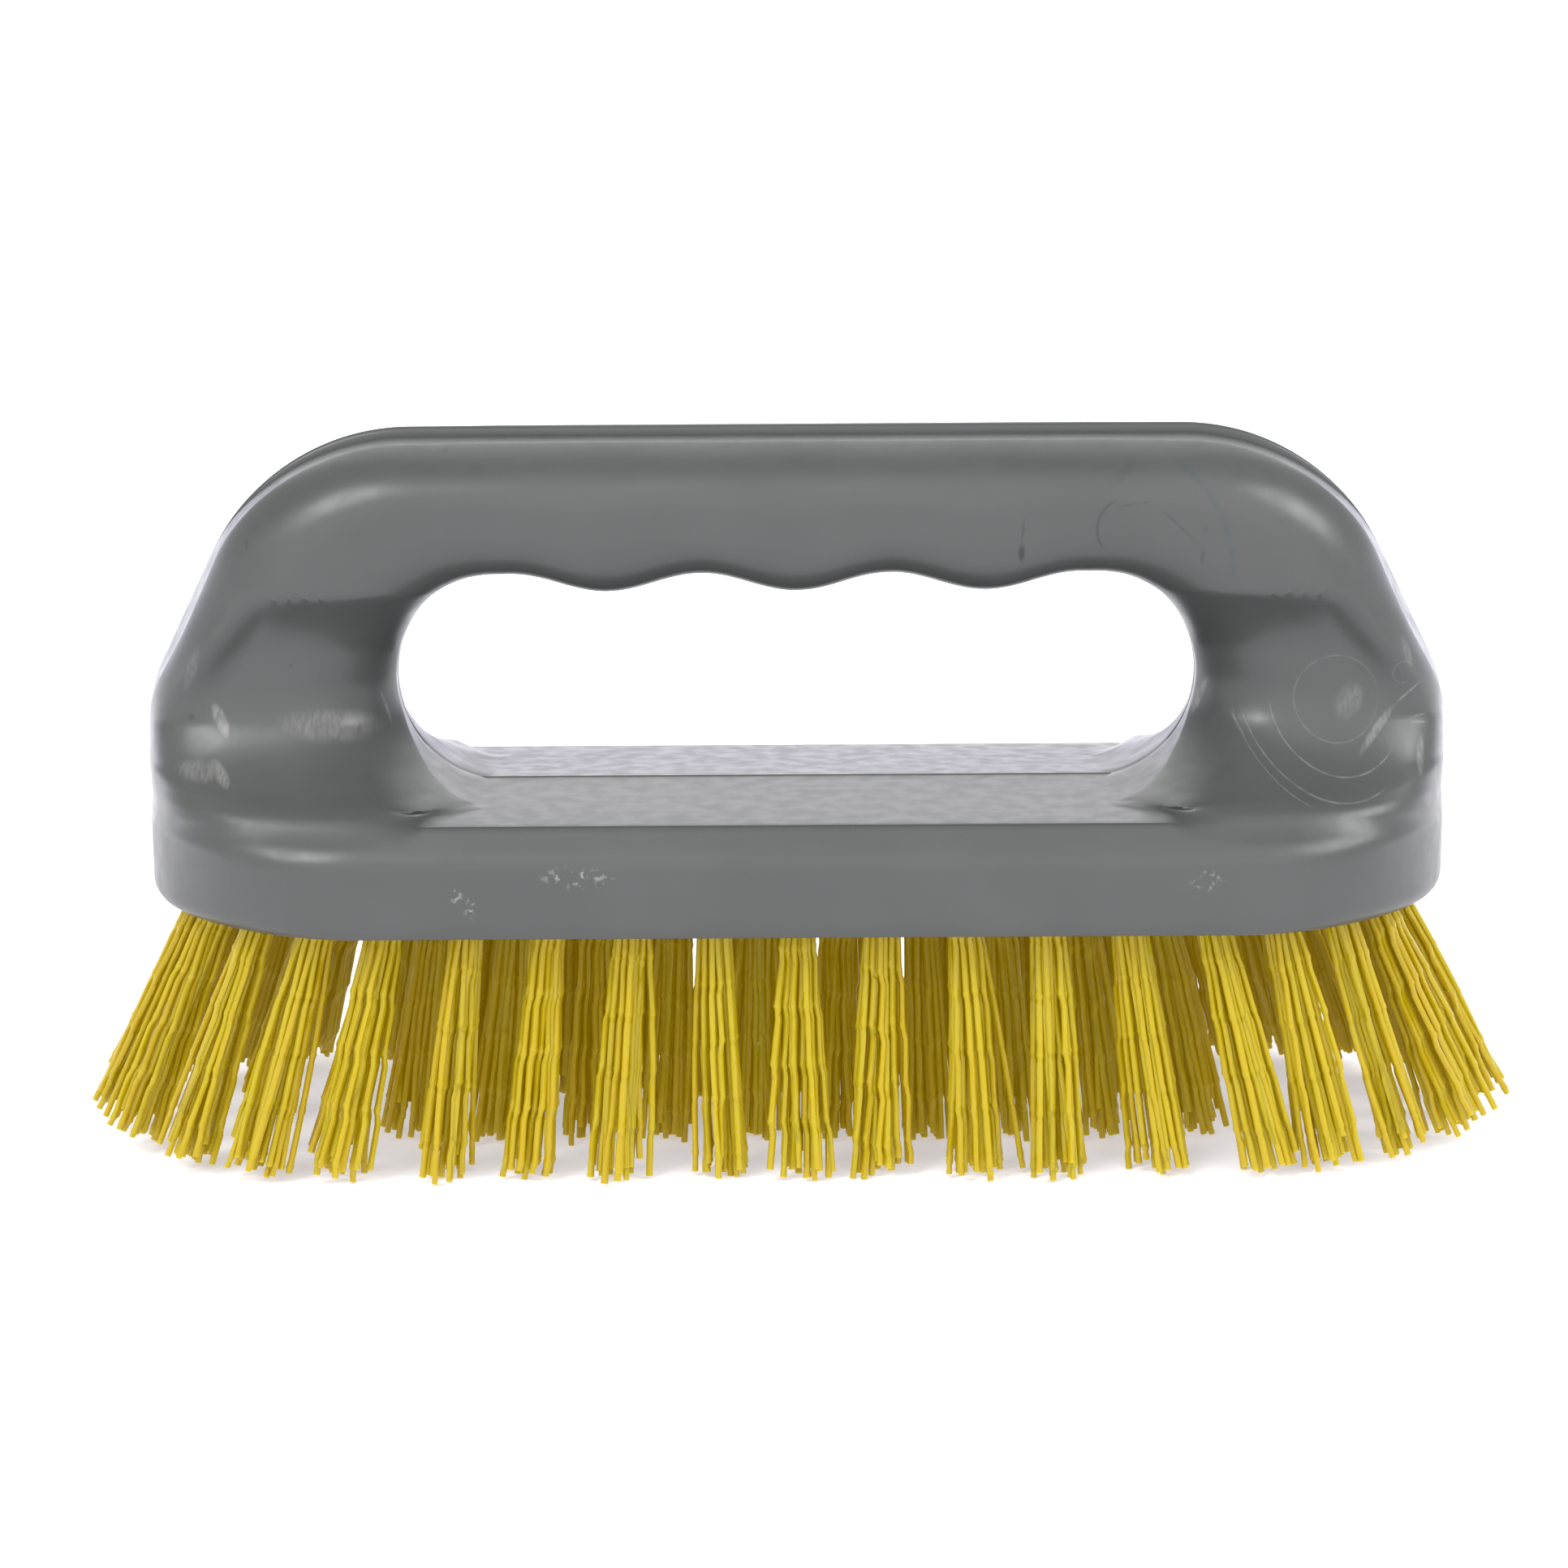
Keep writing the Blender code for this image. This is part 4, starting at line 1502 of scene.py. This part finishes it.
    def _mesh(self, vertices: np.ndarray, rings: list[int]) -> bpy.types.Mesh:
        """Skin the filaments' rings, each with closed ends.

        Args:
            vertices: All the rings' points, filament after filament.
            rings: How many rings each filament has.

        Returns:
            The row's mesh.
        """
        quads = []
        caps = []
        start = 0
        step = np.arange(self.sides)
        ahead = (step + 1) % self.sides
        for count in rings:
            near = start + np.arange(count - 1)[:, None] * self.sides
            far = near + self.sides
            corners = [near + step, near + ahead, far + ahead, far + step]
            quads.append(np.stack(corners, axis=-1).reshape(-1, 4))
            caps.append(start + step[::-1])
            caps.append(start + (count - 1) * self.sides + step)
            start += count * self.sides
        faces = np.concatenate(quads)
        mesh = bpy.data.meshes.new(f"filament_tufts_{self.row.value}")
        mesh.from_pydata(vertices.tolist(), [], faces.tolist() + [cap.tolist() for cap in caps])
        smooth(mesh, 60)
        mesh.validate()
        return mesh


@dataclass(frozen=True)
class SoftSun:
    """A far soft lamp: compass turn from straight in front, height, strength and how wide it looks."""

    name: str
    turn: float
    height: float
    strength: float
    width: float = math.radians(26)

    def build(self) -> None:
        """Add the lamp."""
        data = bpy.data.lights.new(self.name, "SUN")
        data.energy = self.strength
        data.angle = self.width
        level = math.cos(self.height)
        way = Vector((math.sin(self.turn) * level, -math.cos(self.turn) * level, math.sin(self.height)))
        into_scene(self.name, data).rotation_euler = way.to_track_quat("Z", "Y").to_euler()


@dataclass
class Studio:
    """Pale floor, soft light and the camera at the photograph's angle."""

    eye_distance: float = 0.368
    eye_height: float = 0.1165
    orbit: float = math.radians(0.2)
    pitch: float = math.radians(11.5)
    pan: float = math.radians(0.24)
    roll: float = math.radians(-0.35)
    view_angle: float = math.radians(28.3)
    floor_size: float = 40.0
    sky_heights: tuple = (0.0, 0.12, 0.30, 0.60, 1.0)
    sky_levels: tuple = (0.95, 0.88, 0.68, 0.44, 0.34)
    sky_tint: Point = (1.0, 0.99, 1.01)
    front_glow: float = 1.15
    front_height: float = math.radians(42)
    front_cosines: tuple = (0.55, 0.95)
    back_glow: float = 1.3
    back_cosines: tuple = (-0.2, 0.7)
    back_heights: tuple = (0.10, 0.27)
    back_tint: Point = (0.92, 0.90, 1.16)
    lamps: tuple = (
        SoftSun("key_left", math.radians(-46), math.radians(49), 1.25),
        SoftSun("key_right", math.radians(72), math.radians(42), 1.2),
        SoftSun("fill_left", math.radians(-55), math.radians(15), 0.25, math.radians(70)),
        SoftSun("fill_right", math.radians(55), math.radians(15), 0.25, math.radians(70)),
        SoftSun("back", math.radians(180), math.radians(35), 0.6, math.radians(60)),
    )

    def build(self) -> None:
        """Set up everything round the brush."""
        self._camera()
        self._floor()
        self._sky()
        for lamp in self.lamps:
            lamp.build()
        bpy.context.scene.view_settings.view_transform = "Standard"

    def _camera(self) -> None:
        """Add the camera."""
        data = bpy.data.cameras.new("photo_camera")
        data.sensor_fit = "HORIZONTAL"
        data.angle = self.view_angle
        data.clip_start = 0.01
        camera = into_scene("photo_camera", data)
        turn = Matrix.Rotation(-self.orbit, 4, "Z")
        place = Matrix.Translation((0.0, -self.eye_distance, self.eye_height))
        look = Matrix.Rotation(self.pan, 4, "Z") @ Matrix.Rotation(math.pi / 2 - self.pitch, 4, "X")
        camera.matrix_world = turn @ place @ look @ Matrix.Rotation(self.roll, 4, "Z")
        bpy.context.scene.camera = camera

    def _floor(self) -> None:
        """Add the floor."""
        bm = bmesh.new()
        bmesh.ops.create_grid(bm, x_segments=8, y_segments=8, size=self.floor_size / 2)
        floor = mesh_object("studio_floor", bm)
        floor.data.materials.append(StudioPaper().material())

    def _sky(self) -> None:
        """Light the room: pale and dimmer overhead, a big soft panel in front, a bright low one behind."""
        sheet = RoomSheet("studio_room")
        level = sheet.steps(sheet.height, self.sky_heights, self.sky_levels)
        front = (0.0, -math.cos(self.front_height), math.sin(self.front_height))
        panel = sheet.times(sheet.toward(front, *self.front_cosines), self.front_glow)
        low = sheet.ramp(sheet.height, *self.back_heights, 1.0, 0.0)
        behind = sheet.times(low, sheet.toward((0.0, 1.0, 0.0), *self.back_cosines), self.back_glow)
        colour = sheet.scaled(self.sky_tint, sheet.math("ADD", level, panel))
        total = sheet.vector("ADD", colour, sheet.scaled(self.back_tint, behind))
        sheet.dress({"Color": total, "Strength": 1.0})


def main() -> None:
    """Build the dressed brush and its studio in order."""
    logging.basicConfig(level=logging.INFO, format="%(message)s")
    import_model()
    base = BaseBlock()
    plan = TuftPlan(base)
    body = MouldedBody(base, HandleArch(base), plan).build()
    LOG.info("%s: %d faces", body.name, len(body.data.polygons))
    filament = CrimpedFilament().material()
    for row in TuftRow:
        piece = FilamentTufts(plan, row, filament).build()
        LOG.info("%s: %d faces", piece.name, len(piece.data.polygons))
    Studio().build()


if __name__ == "__main__":
    main()
